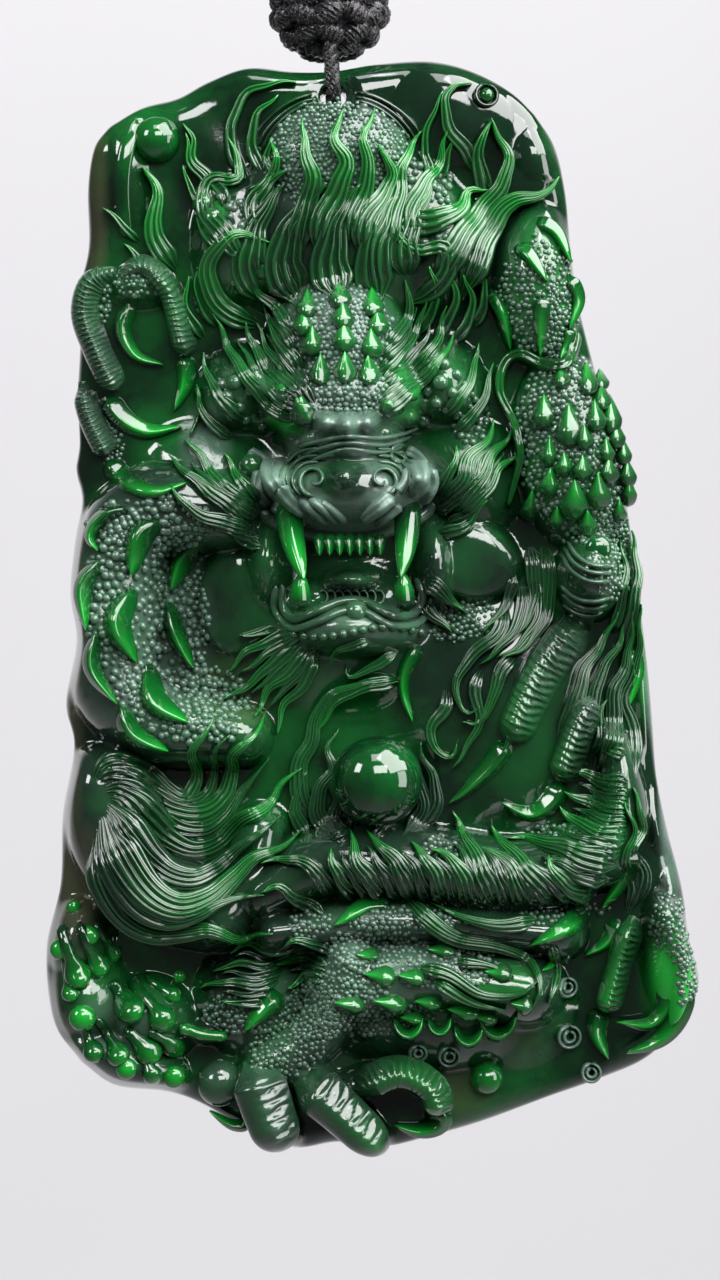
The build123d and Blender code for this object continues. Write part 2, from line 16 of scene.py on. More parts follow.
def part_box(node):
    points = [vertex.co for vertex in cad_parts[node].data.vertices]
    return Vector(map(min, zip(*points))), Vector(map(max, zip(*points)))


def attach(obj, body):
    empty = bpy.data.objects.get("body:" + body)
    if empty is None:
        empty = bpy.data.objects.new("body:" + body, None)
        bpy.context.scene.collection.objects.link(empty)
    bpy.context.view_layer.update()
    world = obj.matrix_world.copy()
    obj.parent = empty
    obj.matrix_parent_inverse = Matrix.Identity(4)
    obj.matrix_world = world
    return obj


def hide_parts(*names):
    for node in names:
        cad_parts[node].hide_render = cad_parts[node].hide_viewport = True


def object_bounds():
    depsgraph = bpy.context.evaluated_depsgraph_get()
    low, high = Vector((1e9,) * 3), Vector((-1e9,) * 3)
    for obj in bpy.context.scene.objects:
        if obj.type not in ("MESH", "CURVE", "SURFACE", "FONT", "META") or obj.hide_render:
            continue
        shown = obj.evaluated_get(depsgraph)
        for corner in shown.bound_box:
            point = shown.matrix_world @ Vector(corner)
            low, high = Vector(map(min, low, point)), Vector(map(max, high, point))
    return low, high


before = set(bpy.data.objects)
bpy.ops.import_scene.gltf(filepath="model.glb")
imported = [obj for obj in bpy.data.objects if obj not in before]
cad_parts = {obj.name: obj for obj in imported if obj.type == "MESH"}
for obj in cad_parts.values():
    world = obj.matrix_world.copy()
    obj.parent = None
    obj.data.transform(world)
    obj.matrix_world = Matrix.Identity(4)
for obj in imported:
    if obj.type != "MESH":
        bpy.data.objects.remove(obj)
cad_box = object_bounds()
MM = 0.001
plaque_low, plaque_high = (np.array(corner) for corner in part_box("jade_plaque"))
print("plaque box", np.round(plaque_low, 4), np.round(plaque_high, 4))

# %% [markdown]
# ## The drawing sheet
# A carver draws the design on a sheet and pastes it on the stone. Here the sheet is 720 squares
# wide and 1280 high. The plaque's axis runs from one named square at its top to one at its foot,
# so every form below is placed in squares, and one function turns squares into metres.

# %% Sheet squares to metres
SHEET_WIDTH, SHEET_HEIGHT = 720, 1280
AXIS_TOP = np.array([325.0, 60.0])
AXIS_FOOT = np.array([371.0, 1151.0])
AXIS_LENGTH = float(np.hypot(*(AXIS_FOOT - AXIS_TOP)))
down_way = (AXIS_FOOT - AXIS_TOP) / AXIS_LENGTH
right_way = np.array([down_way[1], -down_way[0]])
SQUARE = (plaque_high[2] - plaque_low[2]) / AXIS_LENGTH
AXIS_X = -0.45 * MM
PLATE_HALF = 2.6 * MM
RIM_WIDTH, FRONT_BEVEL = 2.0 * MM, 1.3 * MM


def to_plaque(points):
    """Sheet squares (..., 2) to x and z in metres."""
    away = np.asarray(points, float) - AXIS_TOP
    x = AXIS_X + (away @ right_way) * SQUARE
    z = plaque_high[2] - (away @ down_way) * SQUARE
    return np.stack([x, z], axis=-1)


def to_sheet(xz):
    """x and z in metres (..., 2) to sheet squares."""
    across = (xz[..., 0] - AXIS_X) / SQUARE
    down = (plaque_high[2] - xz[..., 1]) / SQUARE
    return AXIS_TOP + across[..., None] * right_way + down[..., None] * down_way


print("one square is", round(SQUARE / MM, 4), "mm")

# %% [markdown]
# ## The camera
# A long lens straight in front, turned a little so that the plaque's axis leans as it does in the
# picture.

# %% Camera
CAMERA_DISTANCE = 0.34
AIM_SQUARE = (360, 640)
AIM_DEPTH = -4.0 * MM
camera_data = bpy.data.cameras.new("camera")
camera = bpy.data.objects.new("camera", camera_data)
bpy.context.scene.collection.objects.link(camera)
aim_x, aim_z = to_plaque(AIM_SQUARE)
camera.location = (aim_x, AIM_DEPTH - CAMERA_DISTANCE, aim_z)
lean = math.atan2(-down_way[0], down_way[1])
camera.rotation_euler = (math.pi / 2, -lean, 0)
camera_data.sensor_width = 36
camera_data.lens = camera_data.sensor_width * CAMERA_DISTANCE / (SHEET_HEIGHT * SQUARE)
camera_data.clip_start = 0.01
bpy.context.scene.camera = camera
print("lens", round(camera_data.lens, 1))

# %% [markdown]
# ## Small tools
# A few helpers make every mesh. One links a mesh made from arrays, one lays a smooth curve through
# a few points, two give the faces of grids and of closed tubes, and a batch gathers many small
# shapes into one mesh.

# %% Mesh helpers
def new_mesh(name, points, quads, triangles=(), values=None):
    """A mesh object from an (n, 3) array and arrays of quads and triangles, smooth shaded.
    values holds named numbers, one for each point, kept as attributes."""
    quads, triangles = np.asarray(quads).reshape(-1, 4), np.asarray(triangles).reshape(-1, 3)
    corners = np.concatenate([quads.ravel(), triangles.ravel()]).astype(np.int32)
    sizes = np.concatenate([np.full(len(quads), 4), np.full(len(triangles), 3)])
    starts = np.concatenate([[0], np.cumsum(sizes)[:-1]]).astype(np.int32)
    mesh = bpy.data.meshes.new(name)
    mesh.vertices.add(len(points))
    mesh.vertices.foreach_set("co", np.asarray(points, np.float32).ravel())
    mesh.loops.add(len(corners))
    mesh.loops.foreach_set("vertex_index", corners)
    mesh.polygons.add(len(sizes))
    mesh.polygons.foreach_set("loop_start", starts)
    mesh.polygons.foreach_set("use_smooth", np.ones(len(sizes), bool))
    mesh.update(calc_edges=True)
    mesh.validate()
    for title, numbers in (values or {}).items():
        layer = mesh.attributes.new(title, "FLOAT", "POINT")
        layer.data.foreach_set("value", np.asarray(numbers, np.float32).ravel())
    thing = bpy.data.objects.new(name, mesh)
    bpy.context.scene.collection.objects.link(thing)
    return thing


def grid_quads(rows, columns, closed=False):
    """Quads between neighbours of a rows by columns grid. closed=True joins the last column
    to the first."""
    j = np.arange(columns if closed else columns - 1)
    i = np.arange(rows - 1)[:, None]
    k = (j + 1) % columns
    quads = np.stack([i * columns + j, i * columns + k, (i + 1) * columns + k,
                      (i + 1) * columns + j], axis=-1)
    return quads.reshape(-1, 4)


def smooth_path(points, count):
    """A Catmull-Rom curve through the points, resampled to count even steps."""
    knots = np.asarray(points, float)
    ends = np.vstack([2 * knots[0] - knots[1], knots, 2 * knots[-1] - knots[-2]])
    t = np.linspace(0, 1, 9)[:-1, None]
    pieces = []
    for a, b, c, d in zip(ends, ends[1:], ends[2:], ends[3:]):
        pieces.append(0.5 * (2 * b + (c - a) * t + (2 * a - 5 * b + 4 * c - d) * t**2
                             + (3 * b - a - 3 * c + d) * t**3))
    fine = np.vstack(pieces + [knots[-1:]])
    along = np.concatenate([[0], np.cumsum(np.linalg.norm(np.diff(fine, axis=0), axis=1))])
    wanted = np.linspace(0, along[-1], count + 1)
    return np.column_stack([np.interp(wanted, along, fine[:, k]) for k in range(fine.shape[1])])


class Batch:
    """Gathers many small closed shapes into one mesh."""

    def __init__(self):
        self.points, self.quads, self.triangles, self.values = [], [], [], []
        self.count = 0

    def add(self, points, quads, triangles=(), **values):
        self.points.append(points)
        self.quads.append(np.asarray(quads).reshape(-1, 4) + self.count)
        self.triangles.append(np.asarray(triangles, int).reshape(-1, 3) + self.count)
        self.values.append({k: np.broadcast_to(v, len(points)) for k, v in values.items()})
        self.count += len(points)

    def build(self, name):
        values = {k: np.concatenate([v[k] for v in self.values]) for k in self.values[0]}
        return new_mesh(name, np.concatenate(self.points), np.concatenate(self.quads),
                        np.concatenate(self.triangles), values)


def tube_faces(rings, sides):
    """Faces of a tube of rings with both ends closed by a fan round two extra points."""
    quads = grid_quads(rings, sides, closed=True)
    start, end = rings * sides, rings * sides + 1
    j = np.arange(sides)
    k = (j + 1) % sides
    last = (rings - 1) * sides
    fans = np.concatenate([np.stack([k, j, np.full(sides, start)], axis=1),
                           np.stack([last + j, last + k, np.full(sides, end)], axis=1)])
    return quads, fans


# %% [markdown]
# ## Shader maths as expressions
# One small class wraps a socket, so that 1 - mask or wave * 0.3 adds the Math nodes by itself.
# Every other node comes from one method, which sets its options first and its inputs after.

# %% Expression class
class Wire:
    """A number or link in a material, with the operators that the finishes below use."""

    def __init__(self, shop, socket):
        self.shop, self.socket = shop, socket

    def maths(self, operation, *others):
        node = self.shop.node("ShaderNodeMath", {"operation": operation},
                              dict(enumerate((self, *others))))
        return Wire(self.shop, node.outputs[0])

    def __add__(self, other): return self.maths("ADD", other)
    def __mul__(self, other): return self.maths("MULTIPLY", other)
    def __sub__(self, other): return self.maths("SUBTRACT", other)
    def __pow__(self, other): return self.maths("POWER", other)
    def __rsub__(self, other): return (self * -1) + other
    __radd__ = __add__

    def clamped(self):
        node = self.shop.node("ShaderNodeClamp", {}, {"Value": self})
        return Wire(self.shop, node.outputs[0])


class Finish:
    """One material and the making of its nodes."""

    def __init__(self, name):
        self.material = bpy.data.materials.new(name)
        self.material.use_nodes = True
        self.tree = self.material.node_tree
        self.shader = self.tree.nodes["Principled BSDF"]

    def node(self, kind, options, inputs):
        node = self.tree.nodes.new(kind)
        for key, value in options.items():
            setattr(node, key, value)
        for key, value in inputs.items():
            self.plug(node.inputs[key], value)
        return node

    def plug(self, socket, value):
        if isinstance(value, Wire):
            self.tree.links.new(value.socket, socket)
        else:
            socket.default_value = value

    def number(self, attribute):
        node = self.node("ShaderNodeAttribute", {"attribute_name": attribute}, {})
        return Wire(self, node.outputs["Fac"])

    def place(self):
        return Wire(self, self.node("ShaderNodeTexCoord", {}, {}).outputs["Object"])

    def noise(self, scale, detail, rough=0.5):
        node = self.node("ShaderNodeTexNoise", {}, {
            "Vector": self.place(), "Scale": scale, "Detail": detail, "Roughness": rough})
        return Wire(self, node.outputs["Fac"])

    def mix(self, share, first, second):
        node = self.node("ShaderNodeMix", {"data_type": "RGBA"},
                         {"Factor": share, 6: first, 7: second})
        return Wire(self, node.outputs[2])

    def bump(self, height, distance, strength, before=None):
        inputs = {"Height": height, "Distance": distance, "Strength": strength}
        if before:
            inputs["Normal"] = before
        return Wire(self, self.node("ShaderNodeBump", {}, inputs).outputs["Normal"])

    def finish(self, **inputs):
        for key, value in inputs.items():
            self.plug(self.shader.inputs[key.replace("_", " ")], value)


# %% [markdown]
# ## The cord
# Black braided cord is several strands that wind round each other. Each strand is a tube carried
# along the route, turning round the middle line as it goes. The route's points are listed
# and a NURBS curve smooths them, as a soft cord does under load.

# %% Cord routes and strands
CORD_DIAMETER = 1.1 * MM
CORD_STRANDS, STRAND_SIDES, STRAND_PITCH, STRAND_SHARE = 3, 8, 2.6 * MM, 0.56
HOLE_Z = -34.8 * MM
KNOT_TOP, KNOT_FOOT = -24.4 * MM, -32.2 * MM
LOOP_ROUTE = np.array([
    (-0.75, 0.0, -25.4), (-1.3, 0.0, -22.3), (-2.9, 0.1, -17.5), (-4.5, 0.2, -12.3),
    (-5.5, 0.1, -7.2), (-5.4, 0.0, -2.6), (-2.3, 0.0, 0.55), (2.3, 0.0, 0.55),
    (5.5, -0.1, -2.5), (5.6, -0.2, -7.0), (4.7, -0.2, -12.1), (3.1, -0.1, -17.3),
    (1.4, 0.0, -22.2), (0.75, 0.0, -25.4),
]) * MM
BIGHT_ROUTE = np.array([
    (0, -1.9, -30.2), (0, -3.5, -32.3), (0, -3.5, -34.8),
    (0, 3.5, -34.8), (0, 3.5, -32.3), (0, 1.9, -30.2),
]) * MM


def route_line(name, points):
    """Points along the NURBS curve that has the route's points as its control points."""
    curve = bpy.data.curves.new(name, "CURVE")
    curve.dimensions = "3D"
    curve.resolution_u = 24
    spline = curve.splines.new("NURBS")
    spline.points.add(len(points) - 1)
    spline.points.foreach_set("co", np.column_stack([points, np.ones(len(points))]).ravel())
    spline.order_u = 3
    spline.use_endpoint_u = True
    guide = bpy.data.objects.new(name, curve)
    bpy.context.scene.collection.objects.link(guide)
    mesh = bpy.data.meshes.new_from_object(guide)
    line = np.zeros(len(mesh.vertices) * 3)
    mesh.vertices.foreach_get("co", line)
    bpy.data.objects.remove(guide)
    return line.reshape(-1, 3)


def even_line(line, step):
    """The line resampled so that its points are about step apart."""
    along = np.concatenate([[0], np.cumsum(np.linalg.norm(np.diff(line, axis=0), axis=1))])
    wanted = np.linspace(0, along[-1], max(4, int(along[-1] / step)))
    return np.column_stack([np.interp(wanted, along, line[:, k]) for k in range(3)]), along[-1]


def wound_cord(name, line, side):
    """Strands wound round a line: each middle runs a helix, and a ring of points goes round it.
    side is a direction square to the route's plane."""
    radius, sides = CORD_DIAMETER / 2, STRAND_SIDES
    line, length = even_line(line, radius * 0.35)
    tangent = np.gradient(line, axis=0)
    tangent /= np.linalg.norm(tangent, axis=1)[:, None]
    normal = np.cross(tangent, side)
    normal /= np.linalg.norm(normal, axis=1)[:, None]
    other = np.cross(tangent, normal)
    along = np.linspace(0, length, len(line))
    strand_radius = radius * STRAND_SHARE
    batch = Batch()
    quads, fans = tube_faces(len(line), sides)
    for k in range(CORD_STRANDS):
        turn = 2 * math.pi * (along / STRAND_PITCH + k / CORD_STRANDS)
        middle = line + (radius - strand_radius) * (np.cos(turn)[:, None] * normal
                                                    + np.sin(turn)[:, None] * other)
        around = 2 * math.pi * np.arange(sides) / sides
        ring = (np.cos(around)[None, :, None] * normal[:, None]
                + np.sin(around)[None, :, None] * other[:, None]) * strand_radius
        points = (middle[:, None] + ring).reshape(-1, 3)
        points = np.vstack([points, middle[0] - tangent[0] * strand_radius * 0.5,
                            middle[-1] + tangent[-1] * strand_radius * 0.5])
        lie = np.append(np.repeat(along, sides), [0, length]) / strand_radius
        roll = np.append(np.tile(around, len(line)), [0, 0])
        batch.add(points, quads, fans, lie=lie, roll=roll)
    return batch.build(name)


loop_line = route_line("loop guide", LOOP_ROUTE)
bight_line = route_line("bight guide", BIGHT_ROUTE)
hanging_cord = wound_cord("hanging_loop", loop_line, np.array([0, 1, 0]))
hole_cord = wound_cord("hole_cord", bight_line, np.array([1, 0, 0]))

# %% [markdown]
# ## The ball knot
# The knot is plaited from a thicker braid: short fat bulges lie in rows round a ball and lean one
# way and then the other. Each bulge is a stretched sphere, bent to the ball, with fine thread
# ridges across it.

# %% Knot
KNOT_MIDDLE = np.array([0, 0, (KNOT_TOP + KNOT_FOOT) / 2])
KNOT_HALF = np.array([4.3, 4.3, 3.9]) * MM
KNOT_ROWS, KNOT_ROUND, KNOT_END_ROW = 6, 12, 66
BULGE_LONG, BULGE_WIDE, BULGE_THICK = 1.3 * MM, 0.84 * MM, 0.85 * MM
BULGE_RINGS, BULGE_SIDES, CORE_RINGS, CORE_SIDES = 36, 16, 24, 32


def ball_angles(rings, sides):
    """Angles from pole to pole as a column, and angles round as a row."""
    return (np.linspace(0.02, math.pi - 0.02, rings)[:, None],
            2 * math.pi * np.arange(sides)[None] / sides)


def plait_bulge(longitude, latitude, slant):
    """A sphere squashed to three half sizes, slanted on the ball and pushed out to its surface.
    Thread ridges run across it as a cosine along its length."""
    rings, sides, thick = BULGE_RINGS, BULGE_SIDES, BULGE_THICK
    v, u = ball_angles(rings, sides)
    thread = 1 + 0.10 * np.cos(v * 19 + np.abs(np.sin(u)) * 4)
    a = BULGE_LONG * np.cos(v) * np.ones_like(u)
    b = BULGE_WIDE * np.sin(v) * np.cos(u) * thread
    c = thick * np.sin(v) * np.sin(u) * thread
    east = a * math.cos(slant) - b * math.sin(slant)
    north = a * math.sin(slant) + b * math.cos(slant)
    reach = KNOT_HALF[0] - thick
    lon = longitude + east / (reach * max(0.35, math.cos(latitude)))
    lat = latitude + north / reach
    out = np.stack([np.cos(lat) * np.cos(lon), np.cos(lat) * np.sin(lon), np.sin(lat)], axis=-1)
    surface = out * (KNOT_HALF - thick * 1.02)
    points = (surface + out * c[..., None]).reshape(-1, 3) + KNOT_MIDDLE
    poles = np.stack([points[:sides].mean(0), points[-sides:].mean(0)])
    lie = np.append(np.repeat(v.ravel() * 3, sides), [0, 9])
    roll = np.append(np.tile(u.ravel(), rings), [0, 0])
    return np.vstack([points, poles]), lie, roll


knot_batch = Batch()
bulge_quads, bulge_fans = tube_faces(BULGE_RINGS, BULGE_SIDES)
for row in range(KNOT_ROWS):
    latitude = math.radians(-KNOT_END_ROW + 2 * KNOT_END_ROW * row / (KNOT_ROWS - 1))
    count = max(4, round(KNOT_ROUND * math.cos(latitude) ** 0.8))
    for k in range(count):
        longitude = 2 * math.pi * (k + 0.5 * (row % 2)) / count
        slant = math.radians(38 if (row + k) % 2 else -34)
        points, lie, roll = plait_bulge(longitude, latitude, slant)
        knot_batch.add(points, bulge_quads[:, ::-1], bulge_fans[:, ::-1], lie=lie, roll=roll)
core_v, core_u = ball_angles(CORE_RINGS, CORE_SIDES)
core = np.stack([np.sin(core_v) * np.cos(core_u), np.sin(core_v) * np.sin(core_u),
                 np.cos(core_v) * np.ones_like(core_u)], axis=-1).reshape(-1, 3)
core = np.vstack([core, [0, 0, 1], [0, 0, -1]]) * (KNOT_HALF - BULGE_THICK) + KNOT_MIDDLE
core_quads, core_fans = tube_faces(CORE_RINGS, CORE_SIDES)
knot_batch.add(core, core_quads, core_fans, lie=0.0, roll=0.0)
knot = knot_batch.build("ball_knot")
print("knot", len(knot.data.polygons), "faces")

# %% [markdown]
# ## Roughing out the stone
# The carver first cuts the large masses. Here they are stamped on a height map with one cell for
# each square of the sheet: rounded masses, and long ridges that follow a bow. Where forms meet, the
# higher one wins with a soft edge, which leaves the carved valleys between them.

# %% Height map
SOFT = 0.7 * MM


class Map:
    """Heights above the plate in metres, one for each sheet square."""

    def __init__(self, height):
        self.height = height

    def window(self, low, high):
        """The cells between two corners as a slice, and their x and y."""
        x0, y0 = np.maximum(0, np.floor(low)).astype(int)
        x1, y1 = np.minimum([SHEET_WIDTH, SHEET_HEIGHT], np.ceil(high) + 1).astype(int)
        return np.s_[y0:y1, x0:x1], np.mgrid[y0:y1, x0:x1][::-1].astype(float)

    def ellipse(self, x, y, half_x, half_y, turn):
        """The cells round a turned ellipse, and 1 less their distance squared, at least 0."""
        reach = max(half_x, half_y) + 1
        part, (px, py) = self.window((x - reach, y - reach), (x + reach, y + reach))
        c, s = math.cos(math.radians(turn)), math.sin(math.radians(turn))
        dx, dy = (px - x) * c + (py - y) * s, (py - y) * c - (px - x) * s
        return part, np.maximum(0, 1 - (dx / half_x) ** 2 - (dy / half_y) ** 2)

    def blend(self, part, rise):
        """The larger of two heights, with a rounded corner SOFT wide where they cross."""
        old = self.height[part]
        gap = np.clip(0.5 + 0.5 * (rise - old) / SOFT, 0, 1)
        self.height[part] = old + (rise - old) * gap + SOFT * gap * (1 - gap) * 0.5

    def mass(self, x, y, half_x, half_y, turn, rise, power):
        """A rounded form: rise times (1 - distance squared) to a power, where it is higher."""
        part, inside = self.ellipse(x, y, half_x, half_y, turn)
        self.blend(part, np.where(inside > 0, rise * MM * inside**power, -MM))

    def swell(self, x, y, half_x, half_y, turn, rise, power):
        """A lump added to what is there: rise times (1 - distance squared) to a power."""
        part, inside = self.ellipse(x, y, half_x, half_y, turn)
        self.height[part] += rise * MM * inside**power

    def pit(self, x, y, half_x, half_y, turn, floor, power):
        """A hollow cut down to a floor height above the plate."""
        part, inside = self.ellipse(x, y, half_x, half_y, turn)
        old = self.height[part]
        self.height[part] = np.where(old > floor * MM,
                                     old + (floor * MM - old) * inside**power, old)

    def ridge(self, points, half_0, half_1, rise_0, rise_1, steps=20):
        """A round ridge along a smooth path, tapering between its ends: each cell takes its share
        along the path and its distance across from the nearest step."""
        path = smooth_path(points, steps)
        reach = max(half_0, half_1) + 1
        part, (px, py) = self.window(path.min(0) - reach, path.max(0) + reach)
        best = np.full(px.shape, np.inf)
        share, side = np.zeros(px.shape), np.zeros(px.shape)
        for k in range(steps):
            step = path[k + 1] - path[k]
            rel_x, rel_y = px - path[k, 0], py - path[k, 1]
            t = np.clip((rel_x * step[0] + rel_y * step[1]) / (step @ step), 0, 1)
            far = np.hypot(rel_x - t * step[0], rel_y - t * step[1])
            near = far < best
            best = np.where(near, far, best)
            share = np.where(near, (k + t) / steps, share)
            turn = np.sign(step[0] * rel_y - step[1] * rel_x)
            side = np.where(near, far * turn, side)
        inside = np.maximum(0, 1 - (side / (half_0 + (half_1 - half_0) * share)) ** 2)
        rise = (rise_0 + (rise_1 - rise_0) * share) * inside**0.5
        self.blend(part, np.where(inside > 0, rise * MM, -MM))

    def at(self, points):
        """Heights at sheet points, read between the four nearest cells."""
        x = np.clip(points[..., 0], 0, SHEET_WIDTH - 1.001)
        y = np.clip(points[..., 1], 0, SHEET_HEIGHT - 1.001)
        i, j = y.astype(int), x.astype(int)
        fy, fx = y - i, x - j
        h = self.height
        return ((h[i, j] * (1 - fx) + h[i, j + 1] * fx) * (1 - fy)
                + (h[i + 1, j] * (1 - fx) + h[i + 1, j + 1] * fx) * fy)


def softened(field, radius):
    """A field averaged over a square window of the given radius, twice."""
    for _ in range(2):
        for axis in (0, 1):
            sums = np.cumsum(np.insert(field, 0, 0, axis=axis), axis=axis)
            count = field.shape[axis]
            low = np.clip(np.arange(count) - radius, 0, count)
            high = np.clip(np.arange(count) + radius + 1, 0, count)
            width = (high - low).reshape((-1, 1) if axis == 0 else (1, -1))
            field = (np.take(sums, high, axis) - np.take(sums, low, axis)) / width
    return field


# %% [markdown]
# The rough masses come first, each a rounded form at its place on the sheet. Beds are low and
# broad; the coils of the body, the head and the limbs stand on them.

# %% Large masses
carving = Map(np.zeros((SHEET_HEIGHT, SHEET_WIDTH)))
# x, y, half_x, half_y, turn, rise in mm, roundness (0.5 is a ball, 1 a soft mound)
BEDS = [
    (345, 235, 132, 100, 0, 3.2, 0.8), (338, 158, 76, 66, 0, 4.0, 0.55),
    (540, 285, 48, 84, 0, 3.4, 0.8), (500, 700, 124, 150, 0, 1.7, 1.6),
    (430, 1000, 120, 74, 0, 3.6, 0.8), (670, 962, 28, 74, -6, 3.0, 0.8),
    (340, 350, 76, 92, 0, 5.4, 0.8), (342, 396, 96, 48, 0, 5.8, 0.9),
    (345, 640, 140, 84, 0, 2.2, 1.6), (210, 480, 76, 60, 20, 2.6, 1.4),
    (470, 480, 60, 64, 0, 3.0, 1.2), (345, 436, 62, 52, 0, 6.6, 0.8),
    (349, 492, 84, 44, 0, 7.2, 0.6), (353, 628, 82, 36, 0, 5.6, 0.9),
    (268, 560, 30, 62, 0, 3.6, 1.3), (436, 562, 30, 62, 0, 3.4, 1.3),
    (237, 600, 40, 56, 0, 1.5, 0.22), (468, 558, 54, 42, 25, 2.3, 0.25),
    (574, 452, 62, 102, -8, 5.0, 0.6), (590, 575, 34, 46, 0, 6.2, 0.6),
    (142, 286, 34, 24, 0, 2.0, 1.2), (232, 240, 44, 70, 0, 3.0, 1.3),
    (440, 250, 50, 70, 0, 3.0, 1.3), (344, 481, 27, 24, 0, 8.5, 0.6),
    (281, 482, 20, 22, 0, 7.0, 0.7), (415, 482, 20, 24, 0, 7.0, 0.7),
    (78, 940, 36, 44, 10, 3.4, 0.8), (88, 1000, 44, 58, 0, 3.0, 0.9),
    (150, 1020, 50, 44, 25, 3.4, 0.8), (128, 1062, 66, 34, 20, 3.2, 0.8),
    (84, 1052, 30, 34, 0, 2.6, 0.9), (196, 1032, 40, 12, 5, 1.6, 0.7),
    (238, 390, 44, 50, 20, 3.2, 1.4), (446, 382, 42, 52, -20, 3.4, 1.4),
    (250, 1000, 60, 60, 0, 2.6, 0.9), (520, 1010, 60, 60, 0, 1.4, 0.9),
    (452, 112, 60, 52, 10, 1.0, 1.0), (128, 172, 20, 60, -4, 0.7, 1.0),
    (538, 152, 22, 26, 0, 0.5, 1.0), (638, 600, 12, 52, -4, 0.9, 1.0),
    (650, 700, 13, 58, -4, 0.9, 1.0), (660, 822, 14, 34, -6, 1.1, 1.0),
    (674, 893, 13, 24, -8, 1.0, 1.0), (74, 500, 13, 34, 0, 0.9, 1.0),
    (70, 585, 13, 46, 4, 0.8, 1.0), (70, 690, 15, 44, 0, 0.9, 1.0), (68, 800, 14, 56, 0, 0.9, 1.0),
]
for row in BEDS:
    carving.mass(*row)
# x, y, half_x, half_y, turn, rise or floor in mm, roundness
MOUTH_PIT = (350, 566, 44, 28, 0, 2.4, 0.5)
EDGE_PIT = (77, 722, 6, 11, -10, 0.1, 0.6)
TONGUE = (352, 580, 30, 13, 0, 4.2, 0.6)
# squares along the middle line, then half widths and rises at the start and the end
BODIES = [
    ([(222, 508), (150, 512), (112, 560), (108, 625)], 44, 50, 4.4, 5.4),
    ([(108, 625), (116, 690), (165, 728), (240, 735)], 50, 32, 5.4, 4.2),
    ([(100, 790), (118, 850), (150, 892), (215, 908)], 46, 44, 4.6, 5.0),
    ([(215, 908), (250, 870), (262, 830)], 44, 26, 5.0, 3.6),
    ([(262, 892), (335, 862), (425, 866)], 34, 40, 4.8, 5.4),
    ([(425, 866), (525, 876), (596, 852)], 40, 38, 5.4, 5.2),
    ([(596, 852), (622, 810), (616, 740)], 38, 14, 5.2, 3.8),
    ([(275, 930), (400, 918), (560, 932)], 24, 28, 4.8, 5.2),
    ([(345, 985), (430, 975), (525, 990)], 44, 40, 5.0, 5.6),
    ([(350, 960), (320, 1030), (262, 1072), (266, 1106), (282, 1138)], 32, 22, 5.6, 1.8),
    ([(296, 1066), (342, 1108), (378, 1142)], 24, 16, 3.0, 1.4),
    ([(352, 1086), (396, 1072), (430, 1088), (438, 1112)], 16, 12, 2.2, 1.2),
    ([(664, 915), (682, 962), (680, 1026)], 20, 15, 4.4, 3.4),
]
for points, half_0, half_1, rise_0, rise_1 in BODIES:
    carving.ridge(points, half_0, half_1, rise_0, rise_1)
carving.pit(*MOUTH_PIT)
# lumps of the brow and the chin: x, y, half_x, half_y, rise in mm
LUMPS = [
    (272, 388, 16, 13, 1.1), (292, 400, 17, 14, 1.2), (308, 414, 15, 14, 1.2),
    (324, 425, 13, 14, 1.6), (347, 428, 14, 14, 1.7), (370, 424, 14, 14, 1.6),
    (389, 412, 16, 14, 1.2), (410, 398, 16, 14, 1.1), (262, 424, 12, 10, 1.0),
    (284, 436, 13, 9, 1.0), (304, 441, 12, 9, 1.0), (394, 434, 13, 9, 1.0),
    (414, 422, 12, 10, 1.0), (432, 408, 12, 11, 1.0), (388, 592, 20, 14, 1.0),
    (312, 592, 18, 14, 1.0),
]
for x, y, half_x, half_y, rise in LUMPS:
    carving.swell(x, y, half_x, half_y, 0, rise, 0.9)
# folds of the muzzle: x, y, turn
MUZZLE_SWELLS = [(270, 480, 80), (286, 496, 40), (316, 512, 35),
                 (380, 512, -38), (400, 496, -45), (424, 482, -80)]
for x, y, turn in MUZZLE_SWELLS:
    carving.swell(x, y, 17, 10, turn, 1.1, 0.8)
carving.pit(*EDGE_PIT)
carving.mass(*TONGUE)
carving.height = softened(carving.height, 1)
WAVE_RISE = 0.2 * MM
row, column = np.mgrid[0:SHEET_HEIGHT, 0:SHEET_WIDTH]
carving.height += WAVE_RISE * (1 + np.sin(column / 23 + 1.7 * np.sin(row / 61))
                               * np.sin(row / 31 + 1.3 * np.sin(column / 47)))
print("highest", round(carving.height.max() / MM, 2), "mm")

# %% [markdown]
# ## The stone's outline
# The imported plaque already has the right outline, so its rim is read from the frame. Its four edges
# are blended across the plaque into a fine grid, and each grid point takes its depth from the map.

# %% Outline from the frame
SHOULDER = 2.2 * MM
node_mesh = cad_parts["jade_plaque"].data
node_points = np.zeros(len(node_mesh.vertices) * 3)
node_mesh.vertices.foreach_get("co", node_points)
node_points = node_points.reshape(-1, 3)
on_rim = node_points[np.abs(node_points[:, 1] - SHOULDER) < 0.02 * MM][:, [0, 2]]
on_rim = np.unique(np.round(on_rim, 7), axis=0)
CORNER_SQUARES = [(78, 1066), (690, 1022), (521, 92), (108, 124)]


def in_order(points):
    """Outline points sorted by their angle round the middle, anticlockwise from the foot."""
    middle = (points.min(0) + points.max(0)) / 2
    away = (points - middle) / (points.max(0) - points.min(0))
    return points[np.argsort(np.arctan2(away[:, 1], away[:, 0]))]


outline = in_order(on_rim)
corner_at = [int(np.argmin(np.hypot(*(outline - to_plaque(c)).T))) for c in CORNER_SQUARES]
print("outline points", len(outline), "corners", corner_at)


def edge_between(first, last, count):
    """The stretch of outline from one corner to the next, smoothed and cut evenly."""
    stop = last if last > first else last + len(outline)
    stretch = outline[np.arange(first, stop + 1) % len(outline)]
    return smooth_path(stretch, count)


